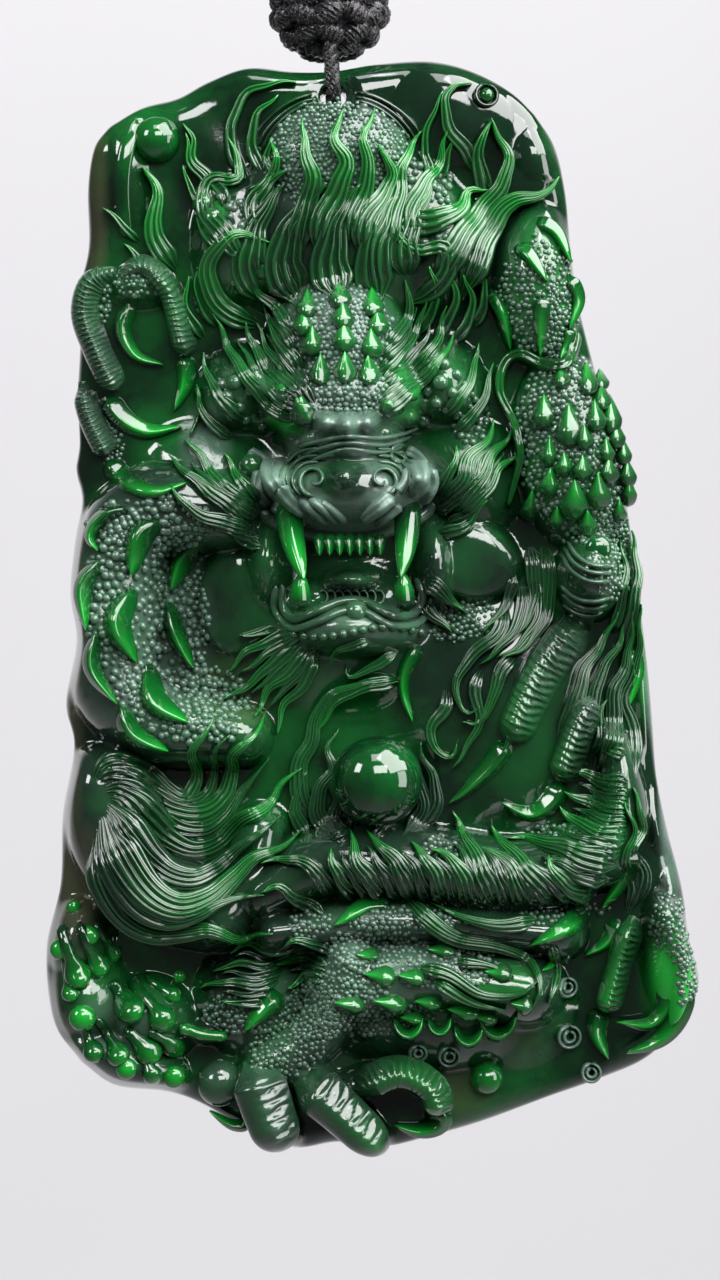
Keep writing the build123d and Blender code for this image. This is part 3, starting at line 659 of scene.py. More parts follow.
COLUMNS, ROWS = 208, 360
foot = edge_between(corner_at[0], corner_at[1], COLUMNS)
right = edge_between(corner_at[1], corner_at[2], ROWS)
head = edge_between(corner_at[2], corner_at[3], COLUMNS)[::-1]
left = edge_between(corner_at[3], corner_at[0], ROWS)[::-1]
s = np.linspace(0, 1, COLUMNS + 1)[None, :, None]
t = np.linspace(0, 1, ROWS + 1)[:, None, None]
plan = ((1 - s) * left[:, None] + s * right[:, None] + (1 - t) * foot[None] + t * head[None]
        - ((1 - s) * (1 - t) * foot[0] + s * (1 - t) * foot[-1]
           + (1 - s) * t * head[0] + s * t * head[-1]))
rim = np.concatenate([foot[:-1], right[:-1], head[::-1][:-1], left[::-1][:-1]])

# %% [markdown]
# ## Front, rim, back and hole in one closed skin
# The front grid takes its depth from the height map. The hole is opened by drawing a block of the
# grid out into a circle and dropping the cells inside it. Rings carry the skin over the rim to the
# flat back, and the back is filled round the hole.

# %% Skin of the stone
HOLE_RADIUS = 0.9 * MM
HOLE_BLOCK, HOLE_REACH = 5, 9
hole = np.array([0.0, HOLE_Z])
centre_row, centre_column = np.unravel_index(
    np.argmin(np.hypot(*(plan - hole).transpose(2, 0, 1))), plan.shape[:2])
row_step, column_step = np.mgrid[0:ROWS + 1, 0:COLUMNS + 1]
row_step, column_step = row_step - centre_row, column_step - centre_column
square_ring = np.maximum(np.abs(row_step), np.abs(column_step))
cell = np.hypot(*(plan[centre_row, centre_column + 1] - plan[centre_row, centre_column]))
ring_radius = HOLE_RADIUS + (square_ring - HOLE_BLOCK) * cell
angle = np.arctan2(row_step, column_step)
round_spot = hole + ring_radius[..., None] * np.stack([np.cos(angle), np.sin(angle)], axis=-1)
pull = np.clip((HOLE_REACH - square_ring) / (HOLE_REACH - HOLE_BLOCK), 0, 1)[..., None]
plan = plan + (round_spot - plan) * pull


def rim_distance(points):
    """Distance of points (..., 2) from the outline."""
    nearest = np.full(points.shape[:-1], np.inf)
    for a, b in zip(rim[::3], np.roll(rim[::3], -1, axis=0)):
        step = b - a
        share = np.clip(((points - a) @ step) / (step @ step), 0, 1)
        away = points - a - share[..., None] * step
        nearest = np.minimum(nearest, np.hypot(away[..., 0], away[..., 1]))
    return nearest


def is_inside(points):
    """Whether points (..., 2) lie inside the outline: a ray to the right crosses it an odd
    number of times."""
    odd = np.zeros(points.shape[:-1], bool)
    x, z = points[..., 0], points[..., 1]
    for a, b in zip(rim[::3], np.roll(rim[::3], -1, axis=0)):
        if a[1] != b[1]:
            spans = (a[1] > z) != (b[1] > z)
            odd ^= spans & (x < a[0] + (b[0] - a[0]) * (z - a[1]) / (b[1] - a[1]))
    return odd


# depth from the middle and how far inside the outline, or outside the hole, in mm
RIM_RINGS = [(-0.5, -0.05), (0.6, -0.1), (1.5, -0.02), (2.1, 0.15), (2.45, 0.5), (2.6, 1.0)]
HOLE_RINGS = [(-2.3, 0.0), (0.0, 0.0), (2.3, 0.0), (2.6, 0.2)]
RELIEF_MARGIN = 0.8 * MM
HOLE_FLAT, HOLE_LAND = 0.2 * MM, 0.9 * MM


def rim_shares(inset):
    """At a distance inside the outline: the share of the relief that shows, and how far the rounded
    rim has dropped as a share of its depth."""
    near = 1 - np.clip(inset / RIM_WIDTH, 0, 1)
    return np.clip(inset / RELIEF_MARGIN, 0, 1) ** 0.7, 1 - np.sqrt(1 - near**2)


inset = rim_distance(plan)
inset[0], inset[-1], inset[:, 0], inset[:, -1] = 0, 0, 0, 0
from_hole = np.hypot(plan[..., 0] - hole[0], plan[..., 1] - hole[1]) - HOLE_RADIUS
land = np.clip((from_hole - HOLE_FLAT) / HOLE_LAND, 0, 1)
margin, rounding = rim_shares(inset)
plan_sheet = to_sheet(plan)
wavy = 1 + 0.22 * np.sin(plan_sheet[..., 0] / 17 + plan_sheet[..., 1] / 23)
bevel = FRONT_BEVEL * wavy * rounding


def stone_skin():
    """The closed skin as points, quads and triangles, and how many points its front has. y of the
    front is the plate's face with its rounded rim, less the relief."""
    depth = -PLATE_HALF + bevel - carving.at(plan_sheet) * margin * land
    front = np.stack([plan[..., 0], depth, plan[..., 1]], axis=-1).reshape(-1, 3)
    index = np.arange((ROWS + 1) * (COLUMNS + 1)).reshape(ROWS + 1, COLUMNS + 1)
    quads = np.stack([index[:-1, :-1], index[:-1, 1:], index[1:, 1:], index[1:, :-1]], axis=-1)
    block = (np.maximum(row_step[:-1, :-1], -row_step[1:, 1:]) < HOLE_BLOCK) & (
        np.maximum(column_step[:-1, :-1], -column_step[1:, 1:]) < HOLE_BLOCK) & (
        np.minimum(row_step[:-1, :-1], column_step[:-1, :-1]) >= -HOLE_BLOCK)
    quads = quads[~block].reshape(-1, 4)
    edge = np.concatenate([index[0, :-1], index[:-1, -1], index[-1, :0:-1], index[:0:-1, 0]])
    points, faces = [front], [quads]

    def add_rings(before, rings, way):
        """Rings of (x, z) at their depths in mm, each joined to the one before it. way is -1 where
        the rings run clockwise as seen from their outside. Gives the last ring's numbers."""
        for depth, ring in rings:
            total = sum(len(part) for part in points)
            y = np.full(len(ring), depth * MM)
            points.append(np.stack([ring[:, 0], y, ring[:, 1]], axis=1))
            now = np.arange(total, total + len(ring))
            others = [now, np.roll(now, -1), np.roll(before, -1)]
            faces.append(np.stack([before] + others[::way], axis=1))
            before = now
        return before

    tangent = np.roll(rim, -1, axis=0) - np.roll(rim, 1, axis=0)
    inward = np.stack([-tangent[:, 1], tangent[:, 0]], axis=1)
    inward /= np.hypot(*inward.T)[:, None]
    back_ring = add_rings(edge, [(depth, rim + inward * inset_mm * MM)
                                 for depth, inset_mm in RIM_RINGS], 1)
    b = HOLE_BLOCK
    side = np.arange(-b, b)
    flat = np.full(2 * b, b)
    block_ring = np.concatenate([np.stack(pair, axis=1) for pair in (
        (-flat, side), (side, flat), (flat, -side), (-side, -flat))])
    hole_edge = index[centre_row + block_ring[:, 0], centre_column + block_ring[:, 1]]
    spots = front[hole_edge][:, [0, 2]]
    hole_ring = add_rings(hole_edge, [
        (depth, hole + (spots - hole) * (1 + wider * MM / HOLE_RADIUS))
        for depth, wider in HOLE_RINGS], -1)
    points = np.concatenate(points)
    loops = [[Vector((*points[i][[0, 2]], 0)) for i in ring] for ring in (back_ring, hole_ring)]
    order = np.concatenate([back_ring, hole_ring])
    filled = order[np.array(geometry.tessellate_polygon(loops))]
    corners = points[filled][:, :, [0, 2]]
    ahead, beside = corners[:, 1] - corners[:, 0], corners[:, 2] - corners[:, 0]
    flipped = ahead[:, 0] * beside[:, 1] - ahead[:, 1] * beside[:, 0] > 0
    filled[flipped] = filled[flipped][:, ::-1]
    return points, np.concatenate(faces), filled, len(front)


skin_points, skin_quads, skin_triangles, front_count = stone_skin()
print("skin", len(skin_points), "points, deepest", round(-skin_points[:, 1].min() / MM, 2), "mm")

# %% [markdown]
# ## Forms laid over the masses
# Hair, claws, toes and scales all start from a path on the sheet. A ring of points is carried
# along it: its upper half stands above the rough stone, and its lower half sinks into the stone
# below, so each form grows out of what carries it when it is seen from the side. Teeth and free
# claws are round all the way and start from a set level instead.

# %% Carried forms
ground = Map(softened(carving.height, 3))
SINK = 0.5 * MM
OVERHANG = 0.8


def crown_points(count, even=False):
    """Across and upward shares of a ring: a half circle of count points, then three below. Even
    points are equal steps apart across the ring, and the others equal turns apart."""
    across = np.linspace(1, -1, count) if even else np.cos(np.linspace(0, math.pi, count))
    upward = np.sqrt(np.clip(1 - across**2, 0, 1))
    across = np.concatenate([across, [-OVERHANG, 0, OVERHANG]])
    return across, np.concatenate([upward, [0, 0, 0]]), np.arange(count + 3) < count


def side_way(path):
    """Unit directions square to a path, one at each of its points."""
    tangent = np.gradient(path, axis=0)
    tangent /= np.hypot(*tangent.T)[:, None]
    return np.column_stack([-tangent[:, 1], tangent[:, 0]])


def carry(batch, path, half, rise, lift, shape, bright, frost, crown=13, level=None, even=False,
          sway=0.0):
    """A form along a path of (n, 2) squares. At each ring the upper points stand shape times
    rise above the base, and the lower ones lie SINK under the ground. With a level, the base
    runs between its two heights, and the lower points hang under it by 0.8 of the rise.
    shape is a function of the across share, the upward share and the share along the path, and
    sway moves the points to and fro between the two sides."""
    across, upward, is_top = crown_points(crown, even)
    share = np.linspace(0, 1, len(path))[:, None]
    phase = path[0, 0]
    ripple = np.sin(3 * across + 7 * share + phase) + 0.5 * np.sin(13 * across - 3 * share + phase)
    swayed = across + sway * (1 - across**2) * ripple
    spots = path[:, None] + side_way(path)[:, None] * (swayed * half[:, None])[..., None]
    if level is None:
        base = ground.at(path)[:, None] + lift[:, None]
        beds = np.minimum(ground.at(spots), base) - SINK
    else:
        base = (level[0] + (level[1] - level[0]) * share) * MM
        beds = base - 0.8 * rise[:, None] * np.sqrt(1 - 0.9 * across[None] ** 2)
    relief = shape(across[None], upward[None], share)
    tops = base + rise[:, None] * relief
    height = np.where(is_top[None], tops, beds)
    sides = len(across)
    xz = to_plaque(spots)
    points = np.stack([xz[..., 0], -PLATE_HALF - height, xz[..., 1]], axis=-1)
    ends = np.stack([points[0].mean(0), points[-1].mean(0)])
    quads, fans = tube_faces(len(path), sides)

    def spread(value):
        wide = np.broadcast_to(value, (len(path), sides)).ravel()
        return np.append(wide, [wide[0], wide[-1]])

    # Painted light: the glow is stronger on the upper points of each ring, so each form is painted
    # lighter on its top than down its sides.
    glow = spread(bright * (0.3 + 0.7 * np.where(is_top, relief, 0)))
    batch.add(np.vstack([points.reshape(-1, 3), ends]), quads, fans, bright=glow,
              frost=spread(frost))


def eased_step(x):
    """0 below 0, 1 above 1 and smooth between."""
    x = np.clip(x, 0, 1)
    return x * x * (3 - 2 * x)


def run_length(points):
    """The length in squares of the straight runs between points."""
    return np.hypot(*np.diff(np.asarray(points, float), axis=0).T).sum()


def steps_along(points, spacing, least):
    """A smooth path with steps about spacing squares long, but at least so many, and the share
    along it at each point."""
    steps = max(least, int(run_length(points) / spacing))
    return smooth_path(points, steps), np.linspace(0, 1, steps + 1)


# %% Locks of hair
def crest_line(a, strands):
    """1 on the crest of each strand and 0 in the groove between two, straight between them."""
    return 1 - np.abs(2 * ((strands * (a + 1) / 2) % 1.0) - 1)


def tuft(batch, points, half_0, half_1, strand, glow, root, rise=(0.35, 0.055), lift_0=0.0,
         lift_1=0.4, tip=0.5, frost=0.05, wave=1.5, pale=0.24):
    """A lock of hair or a flame: strands lie side by side and run together into a point.
    The cross-section is a low arch times 1 less the groove, which is three quarters as deep as a
    strand is wide and hollow between sharp crests. The path waves more and more towards its tip.
    rise is a height in mm and what each square of the half width adds to it."""
    strands = max(2, round(2 * half_0 / strand))
    path, s = steps_along(points, 4.5, 8)
    swing = wave * s * np.sin(2 * math.pi * s * run_length(points) / 38 + points[0][0])
    path = path + side_way(path) * swing[:, None]
    start = eased_step(s / 0.2)
    taper = np.clip(1 - s**2.2, 0, 1) ** 0.8
    half = (half_0 * (0.2 + 0.8 * start) + (half_1 - half_0) * s) * taper + tip
    height = (rise[0] + rise[1] * half_0) * MM * (0.1 + 0.9 * start) * (1 - 0.5 * s**2)
    lift = (lift_0 + (lift_1 - lift_0) * s - 0.3 * (1 - start)) * MM
    groove = np.minimum(0.75, 1.45 * half / strands * SQUARE / height)[:, None]
    count = 4 * strands + 1
    a, up, is_top = crown_points(count, True)
    line = crest_line(a, strands) * is_top

    def shape(a, up, share):
        return up**0.6 * (1 - groove * (1 - crest_line(a, strands) ** 1.5))

    # Painted light: the glow grows from the root to the thin tip and is stronger on the strand
    # crests, and pale puts painted highlight lines on the crests through the frost number.
    carry(batch, path, half, height, lift, shape,
          glow * (root + (1 - root) * s[:, None] ** 1.8) * (0.45 + 0.55 * line),
          frost * (1 - s[:, None]) + pale * line**3 * up * (0.3 + 0.7 * s[:, None]),
          crown=count, even=True, sway=0.08)


def tufts(batch, rows, strand, **looks):
    """A lock for each row of a table."""
    for points, half_0, half_1 in rows:
        tuft(batch, points, half_0, half_1, strand, **looks)


def band(batch, points, half_0, half_1, rise, glow, frost, lift=0.1, grooves=0, tip=0.35):
    """A smooth bar along a path, narrowing towards its end, with a few shallow grooves."""
    path, s = steps_along(points, 3.5, 10)
    ends = np.clip(np.minimum(s / 0.06, (1 - s) / 0.12), 0, 1)
    half = (half_0 + (half_1 - half_0) * s) * (tip + (1 - tip) * np.sqrt(1 - (1 - ends) ** 2))

    def shape(a, up, share):
        dip = 0.5 + 0.5 * np.cos(2 * math.pi * max(grooves, 1) * (a + 1) / 2)
        return up**0.7 * (1 - (0.25 * dip if grooves else 0))

    carry(batch, path, half, rise * MM * (0.4 + 0.6 * ends), np.full(len(s), lift * MM), shape,
          glow, frost)


def between(rows, stop=9):
    """Under-locks between the neighbours of a table: each path lies midway, cut short."""
    made = []
    for (first, wide_0, thin_0), (second, wide_1, thin_1) in zip(rows, rows[1:]):
        path = (smooth_path(first, 10) + smooth_path(second, 10)) / 2
        made.append((path[:stop], 0.45 * (wide_0 + wide_1), 0.4 * (thin_0 + thin_1)))
    return made


# %% Claws, teeth and toes
def lit_side(points):
    """1 or -1: the side of a path that looks to the upper right of the sheet."""
    dx, dy = np.subtract(points[-1], points[0])
    return 1.0 if -0.6 * dy - 0.8 * dx > 0 else -1.0


def facets(points, off=0.26, power=0.85):
    """The cross-section of a cut claw: two flat sides that meet at a ridge off its middle."""
    ridge = -off * lit_side(points)

    def shape(a, up, share):
        slope = np.where(a > ridge, (1 - a) / (1 - ridge), (1 + a) / (1 + ridge))
        return np.where(up > 0, np.clip(slope, 0, 1) ** power, 0)

    return shape


def claw(batch, points, half, rise=None, glow=0.75, root=0.25, level=None, off=0.26, blunt=1.6):
    """A talon: widest near its root and drawn out to a point, with two flat sides."""
    path, s = steps_along(points, 3.5, 10)
    taper = (0.7 + 0.3 * eased_step(s / 0.25)) * np.clip(1 - s**blunt, 0, 1) ** 0.8
    tall = (0.28 + 0.046 * half) if rise is None else rise
    root_in = eased_step(s / 0.18)
    lift = (0.1 + 0.4 * s**1.5 - 0.5 * (1 - root_in)) * MM
    # Painted light: the glow grows from the root to the thin point, for light that comes through.
    carry(batch, path, half * taper * (0.5 + 0.5 * root_in) + 0.4,
          tall * MM * (0.12 + 0.88 * taper) * (0.05 + 0.95 * root_in),
          lift, facets(points, off, 0.85 if off else 0.5),
          glow * (root + (1 - root) * eased_step(s[:, None] / 0.7)), 0.0, level=level)


def toe(batch, points, half_0, half_1, ribs, rise, depth, lift, glow, frost, rounded, bare,
        bow=0.5):
    """A plated toe: round on one side and cut flat on the side to the light, where each plate rises
    to its lower end and drops to the next. The plates bend to a point in the middle, and the root
    sinks into the stone."""
    path, s = smooth_path(points, ribs * 6), np.linspace(0, 1, ribs * 6 + 1)
    end = np.sqrt(np.clip(1 - (1 - np.clip((1 - s) / rounded, 0, 1)) ** 2, 0.03, 1))
    start = eased_step(s / 0.28)
    side = lit_side(points)
    across = crown_points(17)[0]

    def shape(a, up, share):
        phase = (share * ribs + bow * np.abs(a) + 0.14 * np.sin(31 * share + 4 * a)) % 1.0
        rib = np.where(phase < 0.8, 1 - phase / 0.8, (phase - 0.8) / 0.2) ** 0.9
        shown = 1 - bare * eased_step(0.5 - 2.2 * a * side)
        flat = np.clip((1 - a * side) / 0.9, 0, 1) ** 0.9
        return np.where((a * side > 0.1) & (up > 0), flat, up**0.75) * (1 - depth * rib * shown)

    # Painted highlight: the plate crests on the side to the light are made paler through the frost
    # number, and the glow grows towards the tip.
    crest = shape(across, np.ones(20), s[:, None]) ** 4 * eased_step(0.4 + 2 * across * side)
    carry(batch, path, (half_0 + (half_1 - half_0) * s) * end * (0.4 + 0.6 * start) + 0.3,
          rise * MM * end * (0.04 + 0.96 * start),
          (lift * end * start - 0.5 * (1 - start)) * MM, shape,
          glow * (0.4 + 0.6 * s[:, None]), frost * (0.3 + crest), crown=17)


# %% Scales
def leaf_scale(batch, x, y, length, half, turn, rise, glow=0.82, lift=0.05):
    """A pointed scale, like an onion: a round foot for a third of its length, then hollow sides
    that run out to a thin tip, and a ridge off its middle.
    turn is the direction of the tip in degrees, anticlockwise from the right of the sheet."""
    way = np.array([math.cos(math.radians(turn)), -math.sin(math.radians(turn))])
    middle = np.array([x, y], float)
    points = [middle - way * length / 2, middle, middle + way * length / 2]
    path, s = smooth_path(points, 18), np.linspace(0, 1, 19)
    foot = np.sqrt(np.clip(1 - (1 - s / 0.4) ** 2, 0, 1))
    wide = np.where(s < 0.4, foot, np.clip((1 - s) / 0.6, 0, 1) ** 0.95) + 0.04
    # Painted light: the glow grows from the foot to the thin tip.
    carry(batch, path, half * wide, rise * MM * (0.05 + 0.95 * wide**0.8),
          (lift + 0.4 * rise * s**2) * MM, facets(points, 0.2, 0.7),
          glow * (0.3 + 0.7 * s[:, None]), 0.05, crown=11)


def crescent(batch, points, half, glow=0.85, rise=1.3, lift=0.25):
    """A claw-shaped scale of the coil: fat in its middle third and pointed at both ends."""
    path, s = steps_along(points, 4, 10)
    fat = np.sin(math.pi * np.clip(s, 0.02, 0.99) ** 0.75) ** 0.7
    # Painted light: the glow grows towards the end of the crescent.
    carry(batch, path, half * fat + 0.4, rise * MM * (0.1 + 0.9 * fat), (lift + 0.4 * s) * MM,
          facets(points), glow * (0.2 + 0.8 * s[:, None]), 0.0)


# %% Spirals and balls
def curl(batch, x, y, radius, turns, start, half, rise, frost, way=1, glow=0.2, keep=0.15,
         squash=1.0):
    """A round bar along a spiral that winds inwards: its radius falls evenly with its angle."""
    t = np.linspace(0, 1, max(6, int(turns * 10)))
    angle = math.radians(start) + way * 2 * math.pi * turns * t
    reach = radius * (1 - (1 - keep) * t)
    points = np.column_stack([x + reach * np.cos(angle), y - squash * reach * np.sin(angle)])
    rings = int(turns * 26) + 6
    path, s = smooth_path(points, rings), np.linspace(0, 1, rings + 1)
    fade = np.sqrt(np.clip(s / 0.1, 0.1, 1)) * np.sqrt(np.clip((1 - s) / 0.06, 0.1, 1))
    carry(batch, path, half * (1 - 0.4 * s) * fade, rise * MM * fade, np.zeros(rings + 1),
          lambda a, up, share: up**0.7, glow, frost, crown=9)


def boss(batch, x, y, radius, rise, rings=6, sides=18, glow=0.4, frost=0.0, level=None):
    """Part of a ball: rise times the square root of 1 less the distance squared, closed below."""
    t = np.linspace(0, 1, rings + 1)[1:]
    u = 2 * math.pi * np.arange(sides) / sides
    reach, up = np.sin(t * math.pi / 2), np.cos(t * math.pi / 2)
    base = ground.at(np.array([x, y], float)) if level is None else level * MM
    spots = np.stack([x + radius * reach[:, None] * np.cos(u),
                      y - radius * reach[:, None] * np.sin(u)], axis=-1)
    height = base + rise * MM * up[:, None] * np.ones(sides)
    foot_spots = spots[-1:] * OVERHANG + np.array([x, y]) * (1 - OVERHANG)
    foot = np.minimum(ground.at(foot_spots), base) - SINK
    spots = np.concatenate([spots, foot_spots]).reshape(-1, 2)
    height = np.concatenate([height, foot]).ravel()
    spots = np.vstack([spots, [x, y], [x, y]])
    height = np.append(height, [base + rise * MM, foot.min()])
    xz = to_plaque(spots)
    points = np.stack([xz[:, 0], -PLATE_HALF - height, xz[:, 1]], axis=-1)
    quads, fans = tube_faces(rings + 1, sides)
    # Painted highlight: the ball is painted brighter towards its top.
    shine = np.append(np.repeat(np.append(up, 0), sides), [1, 0])
    batch.add(points, quads, fans, bright=glow * (0.4 + 0.6 * shine), frost=frost)


def drop(batch, points, radius, glow):
    """A drop on its stalk: the path ends in a ball, so its half width grows to a round end."""
    path, s = steps_along(points, 3, 12)
    end = radius / max(radius * 1.05, run_length(points))
    ball = np.sqrt(np.clip(1 - ((s - 1 + end) / end) ** 2, 0.02, 1))
    stalk = 0.45 + 0.55 * eased_step((s - 1 + 2.4 * end) / (1.4 * end))
    half = radius * np.where(s > 1 - end, ball, stalk) * np.clip(s / 0.08, 0.3, 1)
    # Painted light: the glow grows along the stalk to the ball.
    carry(batch, path, half + 0.3, 0.075 * radius * MM * (0.1 + half / radius),
          np.full(len(s), 0.1 * MM), lambda a, up, share: up**0.9,
          glow * (0.25 + 0.75 * s[:, None] ** 2), 0.0)


# %% Bead texture
BEAD_SEED, BEAD_SIDES = 31, 6
chance = np.random.default_rng(BEAD_SEED)


def bead_field(batch, zones):
    """Many small domes on a jittered hexagonal lattice inside each ellipse, all as one array.
    Each is a ring of points at two heights of a ball, closed by a pole and a sunk foot."""
    spots, sizes, frosts = [], [], []
    for x, y, half_x, half_y, turn, pitch, size, frost in zones:
        rows = np.arange(-half_y, half_y, pitch * 0.87)
        columns = np.arange(-half_x, half_x, pitch)
        gx, gy = np.meshgrid(columns, rows)
        gx = gx + (np.arange(len(rows)) % 2)[:, None] * pitch / 2
        gx = gx + chance.uniform(-0.28, 0.28, gx.shape) * pitch
        gy = gy + chance.uniform(-0.28, 0.28, gy.shape) * pitch
        inside = (gx / half_x) ** 2 + (gy / half_y) ** 2 < chance.uniform(0.85, 1.1, gx.shape)
        gx, gy = gx[inside], gy[inside]
        c, s = math.cos(math.radians(turn)), math.sin(math.radians(turn))
        spots.append(np.column_stack([x + gx * c - gy * s, y + gx * s + gy * c]))
        sizes.append(size * chance.uniform(0.65, 1.3, len(gx)))
        frosts.append(np.full(len(gx), frost))
    spots, sizes, frosts = np.concatenate(spots), np.concatenate(sizes), np.concatenate(frosts)
    ground_spots = to_plaque(spots)
    inset = rim_distance(ground_spots)
    kept = is_inside(ground_spots) & (inset > 0.9 * sizes * SQUARE)
    spots, sizes, frosts, inset = spots[kept], sizes[kept], frosts[kept], inset[kept]
    shown, rounding = rim_shares(inset)
    stand = ground.at(spots) * shown - FRONT_BEVEL * rounding
    t = np.array([0.5, 1.0])
    reach = np.append(np.sin(t * math.pi / 2), OVERHANG)[:, None]
    up = np.append(np.cos(t * math.pi / 2), -1.0)
    u = 2 * math.pi * np.arange(BEAD_SIDES) / BEAD_SIDES
    ring = np.stack([reach * np.cos(u), reach * np.sin(u)], axis=-1).reshape(-1, 2)
    lift = np.repeat(up, BEAD_SIDES)
    ring = np.vstack([ring, [0, 0], [0, 0]])
    lift = np.append(lift, [1.0, -1.0])
    places = spots[:, None] + ring[None] * sizes[:, None, None]
    tall = sizes * SQUARE * 0.95
    height = stand[:, None] + lift[None] * np.where(lift > 0, 1, 1.2) * tall[:, None]
    xz = to_plaque(places)
    points = np.stack([xz[..., 0], -PLATE_HALF - height, xz[..., 1]], axis=-1)
    quads, fans = tube_faces(len(up), BEAD_SIDES)
    per = len(ring)
    starts = np.arange(len(spots)) * per
    all_quads = (quads[None] + starts[:, None, None]).reshape(-1, 4)
    all_fans = (fans[None] + starts[:, None, None]).reshape(-1, 3)
    # Painted highlight: each bead is painted brighter on its top.
    shine = np.broadcast_to(0.05 + 0.25 * np.clip(lift, 0, 1), height.shape).ravel()
    batch.add(points.reshape(-1, 3), all_quads, all_fans, bright=shine,
              frost=np.repeat(frosts, per))
    return len(spots)


# %% [markdown]
# ## Hair and flames
# Locks rise from the brow and run up into flame tips over the dome. Each row is a lock: its path
# from root to tip in squares, and its half widths at the root and near the tip.

# %% Crown of flames
hair = Batch()
CROWN_BED = [
    ([(268, 304), (250, 268), (258, 226), (284, 186)], 24, 15),
    ([(300, 306), (284, 262), (300, 218), (326, 186)], 26, 15),
    ([(338, 304), (330, 262), (340, 220), (360, 188)], 26, 14),
    ([(378, 304), (372, 262), (384, 224), (400, 190)], 24, 14),
    ([(408, 282), (404, 246), (418, 210), (434, 184)], 20, 12),
]
tufts(hair, CROWN_BED, 10.0, glow=0.45, root=0.7, rise=(1.1, 0))
CROWN = [
    ([(266, 326), (228, 312), (208, 280), (218, 250), (246, 236), (270, 246)], 15, 9),
    ([(404, 304), (428, 294), (448, 272), (442, 250), (412, 252), (398, 234), (395, 206)], 13, 7),
    ([(252, 184), (232, 152), (233, 116), (252, 88), (296, 80)], 9, 5),
    ([(264, 176), (251, 142), (258, 112), (278, 94)], 9, 5),
    ([(283, 184), (268, 162), (271, 138)], 8, 4),
    ([(226, 214), (222, 192), (208, 176), (194, 160), (192, 138), (184, 122)], 9, 5),
    ([(214, 222), (200, 204), (188, 184), (184, 164)], 8, 4),
    ([(244, 202), (262, 190), (286, 172)], 11, 6),
    ([(232, 250), (214, 240), (200, 218), (196, 196)], 11, 6),
    ([(440, 178), (447, 158), (453, 140)], 8, 4),
    ([(430, 252), (410, 248), (400, 232), (397, 208)], 9, 4),
    ([(420, 200), (430, 170), (424, 150), (430, 120), (444, 92)], 8, 4),
    ([(414, 336), (432, 312), (436, 288), (430, 268)], 9, 5),
    ([(434, 342), (450, 316), (456, 292), (448, 272)], 9, 5),
    ([(452, 344), (468, 322), (472, 298), (464, 276)], 9, 5),
    ([(470, 330), (484, 306), (484, 282), (478, 262)], 8, 4),
    ([(222, 330), (204, 306), (198, 280), (206, 252)], 9, 5),
    ([(206, 340), (190, 318), (184, 296), (190, 276)], 8, 4),
    ([(300, 300), (286, 276), (280, 252), (284, 232)], 8, 4),
    ([(246, 268), (224, 236), (204, 206), (212, 180), (240, 176), (229, 136)], 14, 9),
    ([(262, 246), (254, 206), (276, 172), (272, 143)], 13, 8),
    ([(296, 262), (302, 226), (313, 186), (305, 152), (304, 122)], 16, 9),
    ([(318, 262), (324, 224), (346, 172), (334, 140), (346, 112)], 17, 9),
    ([(350, 256), (354, 218), (368, 180), (364, 142), (376, 110)], 14, 7),
    ([(362, 262), (366, 224), (391, 184), (387, 166), (380, 148)], 16, 10),
    ([(386, 262), (390, 226), (398, 196), (403, 165), (421, 131)], 14, 9),
    ([(412, 256), (410, 215), (424, 185), (438, 165), (447, 132)], 14, 8),
    ([(434, 292), (456, 250), (478, 216), (503, 182), (508, 155), (490, 119)], 18, 9),
    ([(400, 224), (436, 222), (462, 207), (470, 190), (488, 188)], 17, 8),
    ([(460, 298), (476, 256), (492, 224), (514, 199), (538, 197), (560, 177)], 22, 9),
    ([(480, 178), (468, 152), (448, 126), (446, 100), (456, 84), (472, 84)], 10, 6),
    ([(488, 200), (480, 165), (480, 142), (493, 122)], 11, 7),
    ([(180, 274), (160, 248), (152, 222), (158, 196), (144, 165)], 14, 9),
    ([(216, 208), (206, 180), (190, 160), (186, 132)], 9, 5),
    ([(140, 242), (122, 224), (103, 206)], 6, 3),
    ([(148, 270), (136, 256), (124, 243)], 6, 3),
]
tufts(hair, CROWN, 7.6, glow=0.98, root=0.35)

# %% Brow, cheek and beard locks
BROW = [
    ([(312, 424), (276, 408), (246, 376), (228, 346), (214, 312)], 12, 6),
    ([(304, 404), (276, 380), (256, 350), (244, 320)], 11, 6),
    ([(318, 412), (296, 384), (270, 352), (256, 322)], 9, 5),
    ([(306, 376), (288, 352), (272, 330), (266, 308)], 9, 5),
    ([(292, 334), (276, 308), (258, 292), (248, 274)], 9, 5),
    ([(374, 420), (404, 396), (436, 366), (456, 332)], 12, 6),
    ([(384, 396), (412, 372), (436, 344), (446, 306)], 11, 6),
    ([(376, 378), (402, 352), (418, 326), (426, 300)], 9, 5),
    ([(384, 350), (404, 326), (410, 300), (404, 282)], 9, 5),
    ([(250, 424), (226, 404), (210, 380), (202, 352)], 9, 5),
    ([(440, 420), (462, 396), (474, 370), (478, 342)], 9, 5),
    ([(452, 436), (476, 412), (488, 388), (492, 362)], 9, 5),
    ([(236, 440), (212, 424), (200, 404), (196, 384)], 8, 4),
]
CHEEK = [
    ([(258, 514), (222, 486), (202, 458), (186, 438)], 11, 6),
    ([(254, 524), (224, 502), (196, 480), (168, 456)], 11, 6),
    ([(262, 506), (244, 486), (232, 466), (224, 454)], 9, 5),
    ([(260, 532), (222, 522), (194, 512), (172, 486)], 11, 6),
    ([(264, 548), (244, 541), (230, 528), (214, 520)], 8, 4),
    ([(436, 506), (462, 484), (470, 456), (490, 440), (492, 418)], 12, 7),
    ([(444, 514), (478, 482), (490, 458), (506, 440), (513, 428)], 12, 7),
    ([(452, 520), (486, 490), (500, 468), (520, 452)], 11, 6),
    ([(436, 534), (462, 528), (478, 510), (487, 500)], 9, 5),
    ([(434, 496), (452, 470), (456, 446)], 9, 5),
]
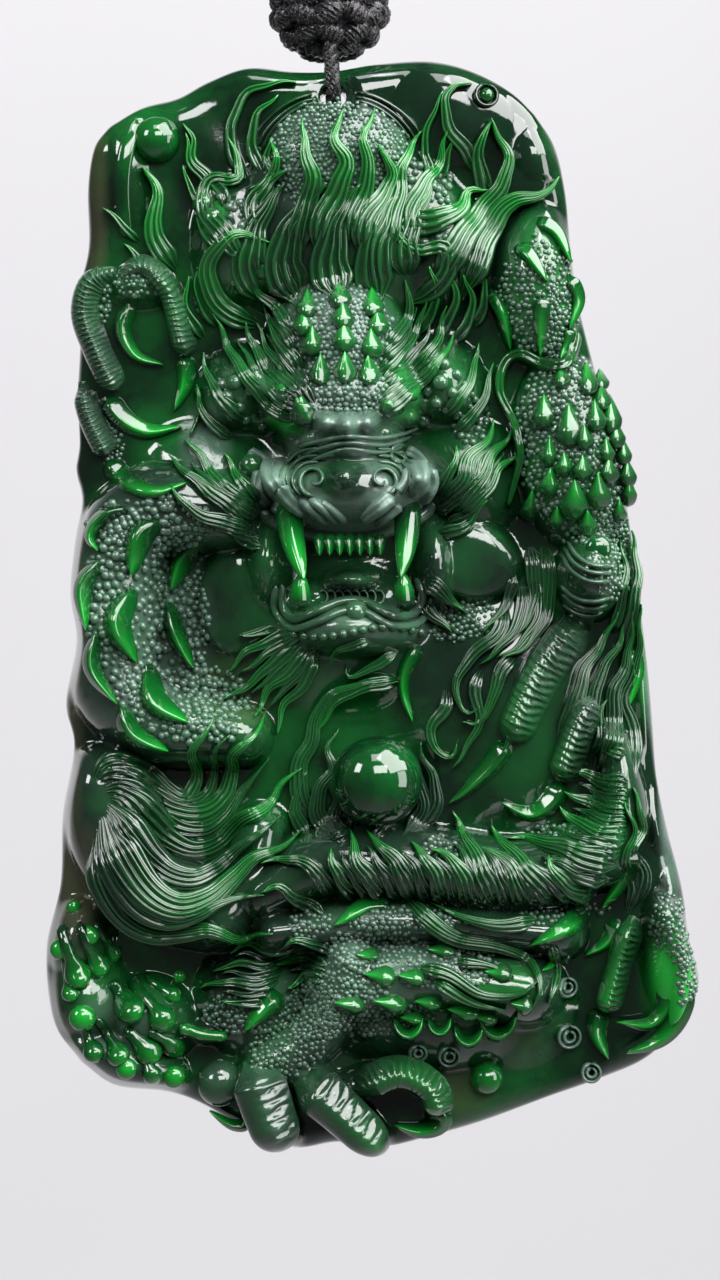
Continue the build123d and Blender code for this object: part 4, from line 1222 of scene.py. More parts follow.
BEARD = [
    ([(300, 630), (272, 640), (244, 654), (228, 672)], 8, 5),
    ([(306, 638), (280, 656), (252, 682), (224, 700)], 9, 6),
    ([(312, 644), (290, 672), (268, 690), (256, 716)], 10, 6),
    ([(318, 650), (304, 684), (282, 708), (278, 736)], 9, 5),
    ([(276, 628), (258, 634), (240, 634)], 6, 3),
    ([(398, 650), (372, 668), (350, 676), (346, 668)], 8, 4),
    ([(404, 680), (360, 688), (334, 704), (316, 734)], 10, 6),
    ([(372, 640), (340, 650), (330, 664)], 7, 4),
    ([(424, 580), (444, 594), (463, 612)], 12, 6),
    ([(420, 600), (436, 618), (452, 632)], 10, 5),
]
UNDER = [row for rows in (BROW[:5], BROW[5:9], CHEEK[:5], CHEEK[5:], BEARD[:4])
         for row in between(rows)]
# Painted shade: the under-locks get less glow than the locks over them, so they stay darker.
for rows, glow in ((UNDER, 0.35), (BROW, 0.75), (CHEEK, 0.8), (BEARD, 0.7)):
    tufts(hair, rows, 5.2, glow=glow, root=0.2, lift_0=0.1)

# %% Swirl, pearl flames and the hair of the arm
SWIRL = [
    ([(92, 786), (112, 764), (146, 774), (168, 792), (186, 798), (197, 776), (193, 752),
      (205, 735), (216, 718)], 17, 8),
    ([(96, 790), (122, 776), (148, 792), (172, 808), (202, 812), (224, 796), (232, 770),
      (234, 754), (257, 733), (266, 710)], 20, 9),
    ([(100, 794), (126, 796), (148, 818), (168, 838), (194, 850), (220, 842), (242, 820),
      (268, 806), (281, 784), (302, 768)], 24, 10),
    ([(104, 804), (118, 840), (148, 886), (180, 904), (212, 895), (236, 874), (256, 855),
      (284, 845), (302, 829)], 26, 11),
    ([(100, 830), (106, 872), (124, 910), (152, 930), (185, 930), (212, 927), (242, 939),
      (258, 932), (274, 930)], 22, 10),
]
PEARL_FLAMES = [
    ([(340, 838), (318, 816), (320, 790), (332, 770), (328, 748), (338, 728)], 12, 6),
    ([(320, 828), (300, 796), (300, 764), (312, 740), (318, 712), (340, 690), (370, 684),
      (398, 682)], 12, 6),
    ([(352, 838), (334, 822), (338, 800), (330, 776), (342, 756)], 10, 5),
    ([(308, 838), (296, 814), (298, 790), (308, 772)], 10, 5),
    ([(330, 840), (346, 832), (352, 816), (346, 798)], 9, 5),
    ([(404, 836), (424, 812), (420, 784), (408, 760), (398, 744)], 12, 6),
    ([(418, 832), (436, 806), (434, 780), (424, 758), (420, 742)], 10, 5),
    ([(372, 836), (388, 824), (398, 808)], 9, 5),
]
ARM_HAIR = [
    ([(556, 748), (574, 708), (584, 672), (604, 640), (618, 612)], 12, 7),
    ([(566, 752), (590, 712), (600, 676), (618, 646), (628, 618)], 11, 6),
    ([(600, 772), (614, 730), (614, 696), (628, 660), (634, 612)], 12, 7),
    ([(632, 780), (634, 734), (624, 700), (638, 660), (640, 604)], 10, 6),
    ([(622, 660), (632, 616), (638, 570), (632, 530)], 9, 5),
    ([(612, 640), (622, 600), (626, 566), (620, 540)], 8, 4),
    ([(634, 912), (645, 876), (630, 850), (641, 824), (630, 786)], 10, 6),
    ([(626, 920), (634, 886), (622, 860), (632, 832), (622, 800)], 8, 4),
    ([(544, 536), (548, 584), (546, 616), (528, 644), (500, 660)], 12, 6),
    ([(530, 540), (534, 586), (530, 616), (514, 636)], 10, 5),
    ([(524, 580), (522, 612), (510, 636), (494, 652), (480, 664)], 10, 5),
    ([(506, 596), (500, 630), (478, 650), (460, 672), (456, 698), (466, 712), (480, 706)], 10, 5),
    ([(520, 650), (500, 672), (492, 700), (476, 724), (462, 722)], 10, 5),
    ([(446, 684), (446, 706), (432, 726), (434, 748), (450, 756), (458, 744)], 9, 5),
    ([(484, 664), (474, 690), (480, 716), (470, 742), (452, 768)], 9, 4),
    ([(536, 566), (541, 596), (538, 618), (522, 642), (498, 658)], 9, 5),
    ([(514, 572), (510, 594), (498, 616), (482, 632)], 8, 4),
    ([(536, 700), (520, 716), (508, 740), (498, 762)], 8, 4),
    ([(592, 760), (602, 740), (600, 716), (608, 700)], 9, 5),
]
locks = Batch()
# Painted shade: the under-locks of the swirl get less glow than the locks over them.
for rows, glow, strand, wave in ((between(SWIRL, stop=10), 0.4, 7.8, 0), (SWIRL, 0.75, 7.8, 0),
                                 (PEARL_FLAMES, 0.4, 5.2, 1.5), (ARM_HAIR, 0.65, 5.2, 1.5)):
    tufts(locks, rows, strand, glow=glow, root=0.3, rise=(0.5, 0.04), wave=wave)

# %% Mane along the lower coil
MANE = [
    ([(338, 902), (314, 866), (284, 856), (262, 862)], 12, 6),
    ([(326, 914), (296, 896), (278, 884), (262, 888)], 11, 6),
    ([(366, 898), (346, 880), (334, 862), (332, 846)], 15, 8),
    ([(392, 898), (370, 874), (356, 854), (351, 828)], 16, 8),
    ([(420, 902), (402, 868), (384, 846), (366, 830)], 17, 8),
    ([(448, 906), (436, 872), (424, 854), (410, 840)], 16, 8),
    ([(474, 908), (464, 876), (450, 856), (430, 846)], 16, 8),
    ([(500, 910), (482, 874), (470, 846), (452, 812)], 17, 9),
    ([(528, 910), (514, 876), (500, 854), (478, 846)], 16, 8),
    ([(562, 902), (534, 876), (510, 850), (490, 826)], 18, 9),
    ([(598, 892), (570, 884), (552, 868), (546, 852)], 17, 9),
    ([(620, 862), (582, 854), (548, 842), (508, 836)], 18, 9),
    ([(628, 836), (598, 832), (574, 820), (560, 806)], 15, 8),
    ([(630, 810), (602, 806), (580, 798), (564, 792)], 14, 7),
    ([(628, 784), (602, 780), (586, 774), (570, 774)], 13, 7),
    ([(624, 756), (608, 748), (596, 740)], 9, 5),
    ([(334, 950), (312, 940), (296, 938), (284, 944)], 9, 5),
    ([(330, 964), (306, 958), (290, 960), (277, 963)], 9, 5),
    ([(326, 978), (308, 974), (296, 982), (288, 988)], 8, 5),
    ([(300, 940), (276, 950), (250, 944), (230, 952)], 8, 5),
    ([(290, 960), (262, 966), (236, 962), (214, 972)], 8, 5),
    ([(284, 976), (256, 984), (228, 980), (200, 988)], 9, 5),
    ([(268, 1000), (244, 1002), (222, 998)], 7, 4),
]
# Painted shade: the under-locks of the mane get less glow than the locks over them.
tufts(locks, between(MANE[2:15]) + between(MANE[16:]), 6.8, glow=0.4, root=0.25, rise=(0.4, 0.04))
tufts(locks, MANE, 6.8, glow=0.9, root=0.18, rise=(0.45, 0.045))
print("hair", hair.count, "and", locks.count, "points")

# %% [markdown]
# ## Whisker, ribbons and folds
# The long smooth bands are the same carried form without strands: the whisker that bends like an S
# on the right, the folds over the muzzle and the lips. The ribbons of the lower coil have fine
# lines, and spirals make the round folds of the face, the lines over the dome and the rings.

# %% Smooth bands
bands = Batch()
# points, half widths, rise, brightness, frost, grooves
BANDS = [
    ([(577, 332), (566, 364), (546, 366), (520, 354), (504, 364), (500, 392), (514, 422),
      (520, 456), (514, 484), (508, 506)], 8, 4, 1.3, 0.3, 0.0, 2),
    ([(180, 1026), (204, 1034), (228, 1036)], 7, 6, 1.0, 0.5, 0.0, 0),
    ([(126, 236), (122, 190), (126, 150), (140, 116)], 7, 9, 0.35, 0.1, 0.0, 0),
    ([(196, 386), (200, 408), (190, 436)], 3, 2, 0.6, 0.1, 0.0, 0),
]
for points, half_0, half_1, rise, glow, frost, grooves in BANDS:
    band(bands, points, half_0, half_1, rise, glow, frost, grooves=grooves)
LINED = [
    ([(396, 886), (424, 914), (456, 936), (498, 944), (528, 958), (538, 982), (530, 1004)], 11, 8),
    ([(408, 962), (446, 970), (480, 990), (516, 990), (536, 976)], 8, 5),
    ([(430, 974), (470, 998), (504, 1006)], 8, 4),
    ([(540, 916), (500, 922), (462, 914), (430, 900)], 10, 4),
    ([(548, 940), (556, 968), (546, 1000)], 8, 5), ([(452, 958), (486, 962), (512, 972)], 7, 4),
]
tufts(bands, LINED, 4.6, glow=0.55, root=0.7, rise=(1.1, 0), lift_1=0.1, wave=0, pale=0.2)

# %% Nose, lips and eyes
# points, half widths, rise, frost
FACE_BANDS = [
    ([(262, 512), (278, 524), (306, 532), (350, 538), (392, 528), (418, 518),
      (434, 504)], 8, 8, 1.0, 0.6),
    ([(282, 584), (282, 604), (294, 619), (316, 612), (340, 602), (364, 602), (392, 616),
      (414, 613), (423, 596), (416, 578)], 5, 5, 1.0, 0.3),
    ([(276, 586), (275, 610), (292, 628), (318, 622), (342, 612), (364, 612), (392, 626),
      (420, 622), (431, 598)], 4, 4, 0.6, 0.4),
    ([(312, 462), (344, 452), (378, 454), (404, 446)], 2.2, 2.2, 0.35, 0.6),
    ([(304, 455), (344, 446), (382, 447), (412, 436)], 2.2, 2.2, 0.35, 0.6),
    ([(298, 448), (344, 440), (384, 440), (418, 428)], 2.2, 2.2, 0.35, 0.6),
    ([(252, 372), (270, 392), (290, 402)], 8, 6, 1.0, 0.2),
]
# points and half widths of the folds over the muzzle
FOLDS = [
    ([(274, 458), (270, 476), (281, 496)], 10, 8), ([(261, 470), (258, 490), (270, 508)], 8, 7),
    ([(280, 490), (292, 504), (308, 516)], 9, 7), ([(272, 504), (288, 516), (306, 524)], 7, 6),
    ([(300, 501), (314, 513), (328, 525)], 5, 4), ([(310, 501), (324, 512), (339, 524)], 4.5, 4),
    ([(321, 504), (334, 513), (347, 524)], 4, 4), ([(392, 498), (378, 510), (360, 523)], 9, 6),
    ([(400, 506), (390, 515), (374, 526)], 6, 5), ([(414, 462), (420, 480), (410, 498)], 10, 8),
    ([(428, 470), (431, 486), (421, 504)], 8, 7), ([(248, 452), (260, 458), (273, 468)], 7, 6),
    ([(406, 450), (416, 456), (424, 468)], 7, 6), ([(396, 494), (404, 484), (406, 470)], 5, 4),
]
for points, half_0, half_1 in FOLDS:
    band(bands, points, half_0, half_1, 0.35 + 0.07 * half_0, 0.03, 1.0, lift=0.15,
         grooves=2 if half_0 > 6 else 0)
for points, half_0, half_1, rise, frost in FACE_BANDS:
    band(bands, points, half_0, half_1, rise, 0.15, frost)
for x, way in ((315, -1), (382, 1)):
    curl(bands, x, 482, 17, 1.2, 270, 3.0, way=way, rise=0.8, frost=0.5)
    for k in range(3):
        curl(bands, x, 482 - 2 * k, 22 + 5.5 * k, 0.44 - 0.03 * k, 90 + way * 10, 2.2, way=-way,
             rise=0.5, frost=0.6, keep=1.0, squash=0.85)
curl(bands, 400, 456, 12, 1.3, 60, 3.0, rise=0.6, frost=0.5)
# x, y, radius
CLOUD_RINGS = [(568, 988, 9), (570, 1038, 11), (592, 1074, 9), (449, 1056, 10), (418, 1052, 8)]
for x, y, radius in CLOUD_RINGS:
    for part in (1.0, 0.5):
        curl(bands, x, y, radius * part, 1.0, 90, 2.4, rise=0.6, glow=0.05, frost=0.8, keep=1.0)
curl(bands, 487, 94, 11, 1.0, 90, 2.6, rise=0.5, glow=0.05, frost=0.0, keep=0.97)
DOME_ARCS = (79, 85, 92)
for radius in DOME_ARCS:
    for start in (164, 78):
        curl(bands, 338, 168, radius, 0.16, start, 2.4, way=-1, rise=0.45, glow=0.05, frost=0.1,
             keep=1.0, squash=0.86)
print("bands", bands.count, "points")

# %% [markdown]
# ## Claws, toes and teeth
# Talons are smooth and painted brighter towards their thin tips, a painted glow for the light that
# comes through. The toes behind them are plated.

# %% Claws
claws = Batch()
# points from root to tip, half width
CLAWS = [
    ([(104, 388), (118, 414), (146, 430), (181, 426)], 13),
    ([(102, 452), (126, 482), (156, 493), (188, 484)], 13),
    ([(134, 298), (122, 328), (136, 355), (163, 364)], 10),
    ([(184, 350), (185, 382), (174, 410)], 11),
    ([(514, 242), (531, 262), (546, 284)], 9),
    ([(532, 220), (556, 234), (571, 264)], 9),
    ([(491, 284), (504, 314), (511, 350)], 10),
    ([(541, 294), (540, 324), (540, 357)], 10),
    ([(566, 276), (578, 300), (569, 330)], 9),
    ([(569, 326), (567, 342), (560, 360)], 8),
    ([(424, 640), (406, 668), (404, 694), (413, 722)], 9),
    ([(512, 736), (490, 766), (466, 790), (448, 804)], 12),
    ([(562, 776), (552, 800), (530, 814), (501, 802)], 14),
    ([(396, 902), (366, 904), (334, 922)], 13),
    ([(594, 908), (562, 925), (528, 942)], 13),
    ([(620, 916), (608, 942), (586, 956)], 10),
    ([(630, 848), (624, 880), (602, 910)], 12),
    ([(570, 953), (556, 962), (540, 967)], 7),
    ([(284, 990), (266, 1004), (245, 1030)], 15),
    ([(603, 1006), (598, 1034), (609, 1060)], 13),
    ([(252, 1126), (232, 1126), (209, 1112)], 7),
    ([(438, 1104), (440, 1124), (420, 1132), (394, 1126)], 12),
]
DIM_CLAWS = (11, 12)
for k, (points, half) in enumerate(CLAWS):
    claw(claws, points, half, glow=0.55 if k in DIM_CLAWS else 0.75)
claw(claws, [(630, 644), (637, 672), (630, 706)], 10, glow=0.95, root=0.8)
claw(claws, [(664, 962), (666, 1000), (650, 1023), (616, 1022)], 12, level=(2.2, 1.4))
claw(claws, [(684, 978), (676, 1016), (658, 1040), (626, 1054)], 15, level=(2.4, 1.0))
# points, half width
CRESCENTS = [
    ([(130, 510), (104, 520), (93, 538), (101, 552)], 8),
    ([(162, 524), (142, 538), (134, 576)], 14), ([(196, 546), (182, 562), (171, 590)], 11),
    ([(103, 562), (86, 588), (90, 630)], 9), ([(136, 590), (120, 624), (139, 662)], 14),
    ([(168, 602), (176, 634), (193, 668)], 10), ([(99, 634), (96, 668), (120, 703)], 9),
    ([(148, 664), (156, 700), (190, 721)], 14), ([(124, 705), (136, 732), (170, 750)], 11),
]
for points, half in CRESCENTS:
    crescent(claws, points, half)

# %% Toes
toes = Batch()
# points, half widths, plates, rise, bare share of the lit side, frost, brightness
TOES = [
    ([(126, 268), (94, 280), (84, 312), (97, 350), (116, 390)], 13, 15, 30, 2.0, 0.3, 0.6, 0.3),
    ([(112, 284), (142, 266), (168, 288), (180, 324), (186, 356)], 12, 13, 24, 1.8, 0.6, 0.5, 0.3),
    ([(81, 380), (89, 414), (108, 454)], 11, 14, 16, 1.8, 0.5, 0.5, 0.3),
    ([(590, 606), (566, 640), (540, 676), (510, 742)], 24, 18, 20, 2.4, 0.7, 0.45, 0.35),
    ([(606, 690), (582, 722), (562, 780)], 16, 17, 14, 2.2, 0.8, 0.45, 0.35),
    ([(254, 1058), (266, 1100), (284, 1150)], 28, 24, 9, 1.6, 1.0, 0.5, 0.2),
    ([(296, 1070), (342, 1110), (386, 1152)], 26, 20, 12, 1.5, 1.0, 0.3, 0.4),
    ([(346, 1094), (396, 1070), (432, 1086), (440, 1116)], 18, 15, 18, 1.4, 0.9, 0.2, 0.5),
    ([(640, 910), (622, 956), (606, 1014)], 14, 14, 16, 1.3, 1.0, 0.2, 0.6),
]
for points, half_0, half_1, ribs, rise, bare, frost, glow in TOES:
    low = rise < 1.7
    toe(toes, points, half_0, half_1, ribs, rise, depth=0.4 if low else 0.3,
        lift=0.9 if low else 0.2, glow=glow, frost=frost, bare=bare,
        rounded=0.28 if half_0 > 25 else 0.12)
# points and half width of the thin folds round the knee
KNEE_FOLDS = [
    ([(567, 541), (574, 556), (588, 566), (609, 567)], 2.4),
    ([(564, 547), (571, 563), (587, 573), (609, 574)], 2.4),
    ([(561, 553), (569, 571), (586, 582), (608, 582)], 2.4),
    ([(560, 586), (573, 598), (590, 602), (609, 598)], 2.4),
    ([(561, 594), (574, 605), (590, 609), (606, 605)], 2.2),
    ([(562, 604), (575, 613), (589, 616), (602, 612)], 2.2),
]
for points, half in KNEE_FOLDS:
    band(toes, points, half, half, 0.7, 0.2, 0.5)
boss(toes, 596, 550, 13, 0.5, rings=10, sides=30, glow=0.1)

# %% Teeth
teeth = Batch()
# points, half width, levels of root and tip in mm above the plate
FANGS = [
    ([(287, 494), (293, 538), (305, 582)], 13, (3.0, 7.4)),
    ([(408, 492), (406, 537), (400, 580)], 13, (3.0, 7.4)),
    ([(302, 612), (301, 594), (302, 574)], 11, (5.8, 6.2)),
    ([(404, 612), (403, 594), (402, 573)], 11, (5.8, 6.2)),
]
UPPER_TEETH, LOWER_TEETH = 7, 8
for points, half, level in FANGS:
    claw(teeth, points, half, rise=0.9, level=level, glow=0.66, root=0.02, off=0.0, blunt=3.2)
for x in 320 + 10 * np.arange(UPPER_TEETH):
    claw(teeth, [(x, 535), (x, 547), (x, 557)], 6.4, rise=0.6, level=(5.2, 6.0), glow=0.45,
         root=0.3)
for x in 323 + 8 * np.arange(LOWER_TEETH):
    curl(teeth, x, 597, 4.6, 0.7, 240, 1.3, rise=0.5, glow=0.1, frost=0.9, keep=1.0, squash=1.4)
band(teeth, [(316, 540), (350, 544), (384, 538)], 8, 8, 1.0, 0.3, 0.0, lift=0.6)

# %% [markdown]
# ## Scales, balls and beads
# Bright pointed scales stand in rows on the forehead, the shoulder and the lower coil. Between them
# the stone is worked into small beads, which are what makes those parts look frosted.

# %% Scales
scales = Batch()
FOREHEAD = [
    (308, 306), (340, 297), (372, 304), (305, 325), (343, 318), (377, 324), (313, 345), (344, 340),
    (371, 347), (321, 373), (345, 371), (368, 373), (286, 384), (399, 375), (302, 412), (394, 402),
]
for x, y in FOREHEAD:
    leaf_scale(scales, x, y, 32, 12, 90, rise=0.95)
# x, y, length, half width
SHOULDER_SCALES = [
    (543, 414, 36, 11), (567, 428, 44, 12), (593, 418, 34, 9), (609, 416, 42, 9),
    (548, 454, 30, 8), (580, 470, 26, 9), (549, 484, 30, 10), (573, 502, 42, 12),
    (596, 493, 38, 11), (532, 507, 32, 10), (622, 453, 28, 7), (628, 492, 30, 7),
    (586, 380, 36, 9), (604, 452, 26, 7), (618, 512, 24, 7), (560, 378, 26, 8), (600, 380, 24, 7),
    (614, 436, 30, 8), (626, 474, 30, 8), (600, 398, 30, 8), (582, 440, 26, 8), (562, 466, 24, 8),
    (606, 472, 28, 9), (586, 524, 26, 9), (556, 520, 24, 8),
]
for x, y, length, half in SHOULDER_SCALES:
    leaf_scale(scales, x, y, length, half * 1.2, 92, rise=1.0)
# x, y, length, half width
COIL_SCALES = [
    (441, 948, 30, 8), (380, 972, 32, 9), (411, 973, 28, 8), (497, 969, 28, 9), (350, 1000, 32, 9),
    (391, 999, 36, 10), (428, 999, 28, 8), (463, 1008, 34, 9), (368, 952, 24, 7),
    (520, 1000, 24, 9), (412, 1016, 26, 7), (484, 1014, 28, 8),
]
for x, y, length, half in COIL_SCALES:
    leaf_scale(scales, x, y, length, half * 1.2, 172, rise=1.0)
# x, y, radius
CUPS = [(408, 1020, 14), (439, 1020, 11), (468, 1028, 14), (497, 1018, 17)]
for x, y, r in CUPS:
    crescent(scales, [(x - r, y - 5), (x - 0.7 * r, y + 0.5 * r), (x, y + 0.9 * r),
                      (x + 0.7 * r, y + 0.5 * r), (x + r, y - 5)], 0.45 * r, glow=0.75, rise=1.2)

# %% Balls, pearl and cloud drops
balls = Batch()
# the pearl, two polished balls at the top, two at the foot and one at the lower lip
boss(balls, 377, 780, 45, 3.1, rings=20, sides=64, glow=0.06, level=4.0)
boss(balls, 156, 138, 24, 1.7, rings=12, sides=36, glow=0.15)
boss(balls, 487, 94, 8, 0.6, glow=0.4)
boss(balls, 220, 1084, 24, 1.8, rings=12, sides=36, glow=0.1, frost=0.2)
boss(balls, 487, 1079, 17, 1.4, rings=12, sides=30, glow=0.4)
boss(balls, 356, 612, 12, 1.0, glow=0.2, frost=0.3)
# x, y, radius
CLOUD_BALLS = [(74, 907, 8), (90, 934, 11), (62, 948, 11), (84, 1016, 14), (128, 1066, 11),
               (174, 1076, 12), (179, 978, 7)]
for x, y, radius in CLOUD_BALLS:
    boss(balls, x, y, radius, 0.06 * radius, glow=0.7)
# points from the stalk to the ball, radius
DROPS = [
    ([(62, 922), (70, 950), (84, 986)], 14), ([(80, 920), (92, 950), (104, 976)], 12),
    ([(96, 922), (106, 942), (116, 962)], 9), ([(66, 956), (68, 974), (74, 1000)], 9),
    ([(112, 980), (126, 1000), (141, 1018)], 16), ([(128, 980), (152, 1002), (172, 1028)], 14),
    ([(144, 978), (162, 988), (180, 1000)], 9), ([(126, 1026), (142, 1042), (157, 1062)], 15),
    ([(150, 1028), (168, 1040), (182, 1056)], 11), ([(98, 1016), (112, 1040), (126, 1062)], 12),
    ([(84, 1022), (90, 1040), (100, 1060)], 11), ([(146, 1056), (152, 1070), (158, 1082)], 10),
]
for points, radius in DROPS:
    drop(balls, points, radius, glow=0.62)
# x, y, radius
BUBBLES = [
    (228, 398, 7), (240, 408, 6), (222, 386, 6), (236, 384, 8), (250, 392, 6), (246, 420, 5),
    (232, 416, 6), (262, 426, 5), (430, 372, 6), (444, 366, 7), (456, 376, 6), (440, 384, 8),
    (428, 392, 6), (452, 394, 6), (464, 386, 5), (436, 404, 6), (424, 420, 7), (446, 410, 5),
    (244, 208, 6), (250, 218, 5), (248, 240, 6), (256, 248, 5), (250, 276, 6), (242, 282, 5),
    (256, 284, 5), (424, 244, 6), (432, 252, 6), (440, 246, 6), (446, 256, 5), (416, 250, 5),
]
for x, y, radius in BUBBLES:
    boss(balls, x, y, radius, 0.07 * radius, rings=4, sides=12, glow=0.08, frost=0.3)
# x, y, length, half width, turn
BROW_SCALES = [
    (289, 384, 34, 11, 130), (304, 412, 34, 12, 120), (276, 408, 28, 10, 150),
    (392, 404, 34, 12, 60), (400, 374, 30, 9, 80), (414, 392, 28, 9, 40),
]
for x, y, length, half, turn in BROW_SCALES:
    leaf_scale(scales, x, y, length, half, turn, rise=1.0)
# x, y, radius, brightness
BALLS = [(252, 466, 13, 0.3), (205, 204, 13, 0.5), (214, 220, 12, 0.4), (264, 270, 12, 0.4)]
for x, y, radius, glow in BALLS:
    boss(balls, x, y, radius, 0.07 * radius, rings=8, sides=24, glow=glow, frost=0.1)
CHIN_BEADS = 15
for k in range(CHIN_BEADS):
    boss(balls, 286 + 9.6 * k, 632 + 5 * math.sin(k * 0.45), 5, 0.45, rings=4, sides=10,
         glow=0.15, frost=0.3)

# %% Beads
beads = Batch()
# x, y, half_x, half_y, turn, pitch, size in squares, then frost
BEAD_ZONES = [
    (339, 158, 74, 58, 0, 5.2, 2.7, 0.78), (342, 332, 50, 54, 0, 5.6, 2.9, 0.95),
    (344, 392, 66, 24, 0, 5.6, 2.9, 0.87), (156, 524, 66, 26, 0, 7.4, 4.1, 0.56),
    (130, 600, 44, 86, 0, 8.2, 4.6, 0.62), (182, 600, 26, 90, -8, 7.2, 4.0, 0.68),
    (180, 706, 64, 36, 15, 7.6, 4.2, 0.62), (214, 700, 34, 34, 0, 7.2, 4.1, 0.62),
    (574, 450, 58, 96, -8, 6.2, 3.3, 0.56), (608, 530, 26, 30, 0, 5.8, 3.0, 0.49),
    (540, 296, 44, 58, 0, 6.2, 3.2, 0.49), (466, 622, 38, 20, -15, 5.8, 3.1, 0.49),
    (400, 916, 66, 12, 0, 5.8, 3.1, 0.62), (376, 944, 56, 18, 0, 5.4, 2.9, 0.87),
    (464, 958, 34, 22, 20, 5.4, 2.9, 0.74), (350, 980, 40, 26, 0, 5.6, 3.0, 0.74),
    (372, 1014, 60, 22, 0, 5.8, 3.1, 0.62), (296, 1034, 32, 62, 42, 5.8, 3.1, 0.45),
    (674, 930, 24, 36, -20, 5.6, 3.1, 0.5), (687, 975, 14, 50, -6, 5.6, 3.1, 0.5),
    (445, 848, 24, 12, 20, 5.6, 3.0, 0.49), (548, 832, 26, 10, 0, 5.6, 3.0, 0.49),
    (560, 912, 50, 9, -5, 5.8, 3.1, 0.49), (240, 1012, 36, 22, 0, 5.8, 3.1, 0.49),
    (104, 430, 16, 40, -20, 5.2, 2.6, 0.62), (310, 920, 24, 16, 0, 5.6, 3.0, 0.62),
    (612, 560, 26, 40, 0, 5.6, 2.9, 0.49), (560, 320, 20, 40, 0, 5.6, 3.0, 0.49),
    (246, 212, 18, 16, 0, 8.0, 4.6, 0.49), (243, 242, 16, 16, 0, 8.0, 4.6, 0.49),
    (246, 282, 16, 18, 0, 8.0, 4.6, 0.49), (428, 184, 28, 24, 0, 8.0, 4.6, 0.55),
    (450, 246, 18, 12, 0, 8.0, 4.6, 0.49), (204, 290, 10, 30, 0, 7.0, 4.0, 0.37),
    (470, 420, 20, 26, 0, 7.0, 4.0, 0.37), (140, 282, 30, 16, 0, 6.0, 3.2, 0.6),
    (420, 972, 24, 14, 0, 5.4, 2.9, 0.9), (316, 1010, 34, 30, 0, 5.6, 3.0, 0.6),
    (100, 300, 12, 26, 0, 6.0, 3.4, 0.49),
]
print("beads", bead_field(beads, BEAD_ZONES))

# %% [markdown]
# ## The pieces
# Each kind of form becomes one mesh. The stone's own skin gets the same numbers at each point:
# a painted glow on its ridges and in zones where light falls, frost where the carving is worked
# fine and a paler right rim that is partly a painted highlight, and the brown of the old rind
# along its left and lower edges.

# %% Assembly of pieces
crests = Map(carving.height - softened(carving.height, 7))
skin_sheet = to_sheet(skin_points[:, [0, 2]])
on_front = (np.arange(len(skin_points)) < front_count).astype(float)
# Painted light: ridges that stand above their surroundings get a little glow.
crest_glow = np.clip(crests.at(skin_sheet) / (0.9 * MM), 0, 1) * 0.2 * on_front
carved = np.clip(carving.at(skin_sheet) / (2.5 * MM), 0, 1) * on_front


def zone_share(zones):
    """The weight of each soft ellipse (x, y, half_x, half_y, weight) inside it, and 0 outside."""
    share = np.zeros(len(skin_points))
    for x, y, half_x, half_y, weight in zones:
        away = ((skin_sheet[:, 0] - x) / half_x) ** 2 + ((skin_sheet[:, 1] - y) / half_y) ** 2
        share = np.maximum(share, weight * np.clip(1.3 - away, 0, 1))
    return share


# x, y, half_x, half_y, weight
# Frost where the carving is worked fine; the two zones at (654, 640) and (672, 820) make the right
# rim paler, partly its own paler stone and partly a painted highlight.
FROSTED_AND_RIM_SHEEN = [(349, 486, 96, 56, 0.38), (344, 400, 84, 40, 0.38), (340, 330, 54, 60, 0.38),
           (339, 160, 76, 62, 0.38), (300, 1020, 60, 70, 0.25), (140, 630, 70, 120, 0.38),
           (116, 1030, 44, 40, 0.35), (370, 960, 80, 60, 0.38), (353, 628, 80, 24, 0.38),
           (274, 484, 22, 34, 1.0),
           (304, 508, 34, 18, 1.0), (346, 522, 46, 14, 0.9), (392, 506, 34, 18, 1.0),
           (418, 480, 20, 34, 1.0), (346, 448, 60, 12, 0.7), (347, 426, 34, 12, 0.7),
           (350, 574, 46, 32, 0.1), (654, 640, 12, 90, 0.6), (672, 820, 12, 80, 0.5),
           (206, 440, 26, 40, 0.5), (268, 1120, 20, 40, 0.5)]
POLISHED = [(344, 482, 24, 22, 1.0)]
RIND = [(64, 640, 22, 190, 0.8), (60, 820, 24, 120, 0.8), (92, 200, 16, 110, 0.5),
        (462, 1092, 30, 26, 0.4), (516, 1036, 26, 16, 0.2), (80, 880, 30, 60, 0.7),
        (240, 690, 50, 40, 0.3)]
# Painted light: in these zones the skin is painted a brighter green, where light falls on it.
LIT = [(286, 414, 24, 22, 0.75), (404, 408, 22, 20, 0.55), (212, 208, 20, 20, 0.7),
       (672, 985, 34, 70, 0.8), (540, 290, 44, 74, 0.4), (110, 1000, 70, 70, 0.25),
       (500, 980, 46, 26, 0.45), (640, 660, 16, 60, 0.6), (574, 452, 50, 96, 0.35),
       (400, 884, 150, 30, 0.3), (560, 640, 40, 60, 0.3), (250, 290, 24, 40, 0.35)]
frosted_and_rim_sheen = np.clip(zone_share(FROSTED_AND_RIM_SHEEN) - zone_share(POLISHED), 0, 1) * on_front
lit_share = zone_share(LIT) * on_front
body = new_mesh("jade_body", skin_points, skin_quads, skin_triangles,
                {"bright": np.maximum(crest_glow, lit_share * (0.6 + 0.4 * carved)),
                 "frost": np.clip(carved * 0.08 + frosted_and_rim_sheen, 0, 1), "rind": zone_share(RIND)})
jade_pieces = [body] + [batch.build(name) for batch, name in (
    (hair, "crown_and_beard"), (locks, "mane_and_swirl"), (bands, "ribbons"), (claws, "claws"),
    (toes, "toes"), (teeth, "teeth"), (scales, "scales"), (balls, "pearl_and_drops"),
    (beads, "bead_texture"))]
print({piece.name: len(piece.data.polygons) for piece in jade_pieces})
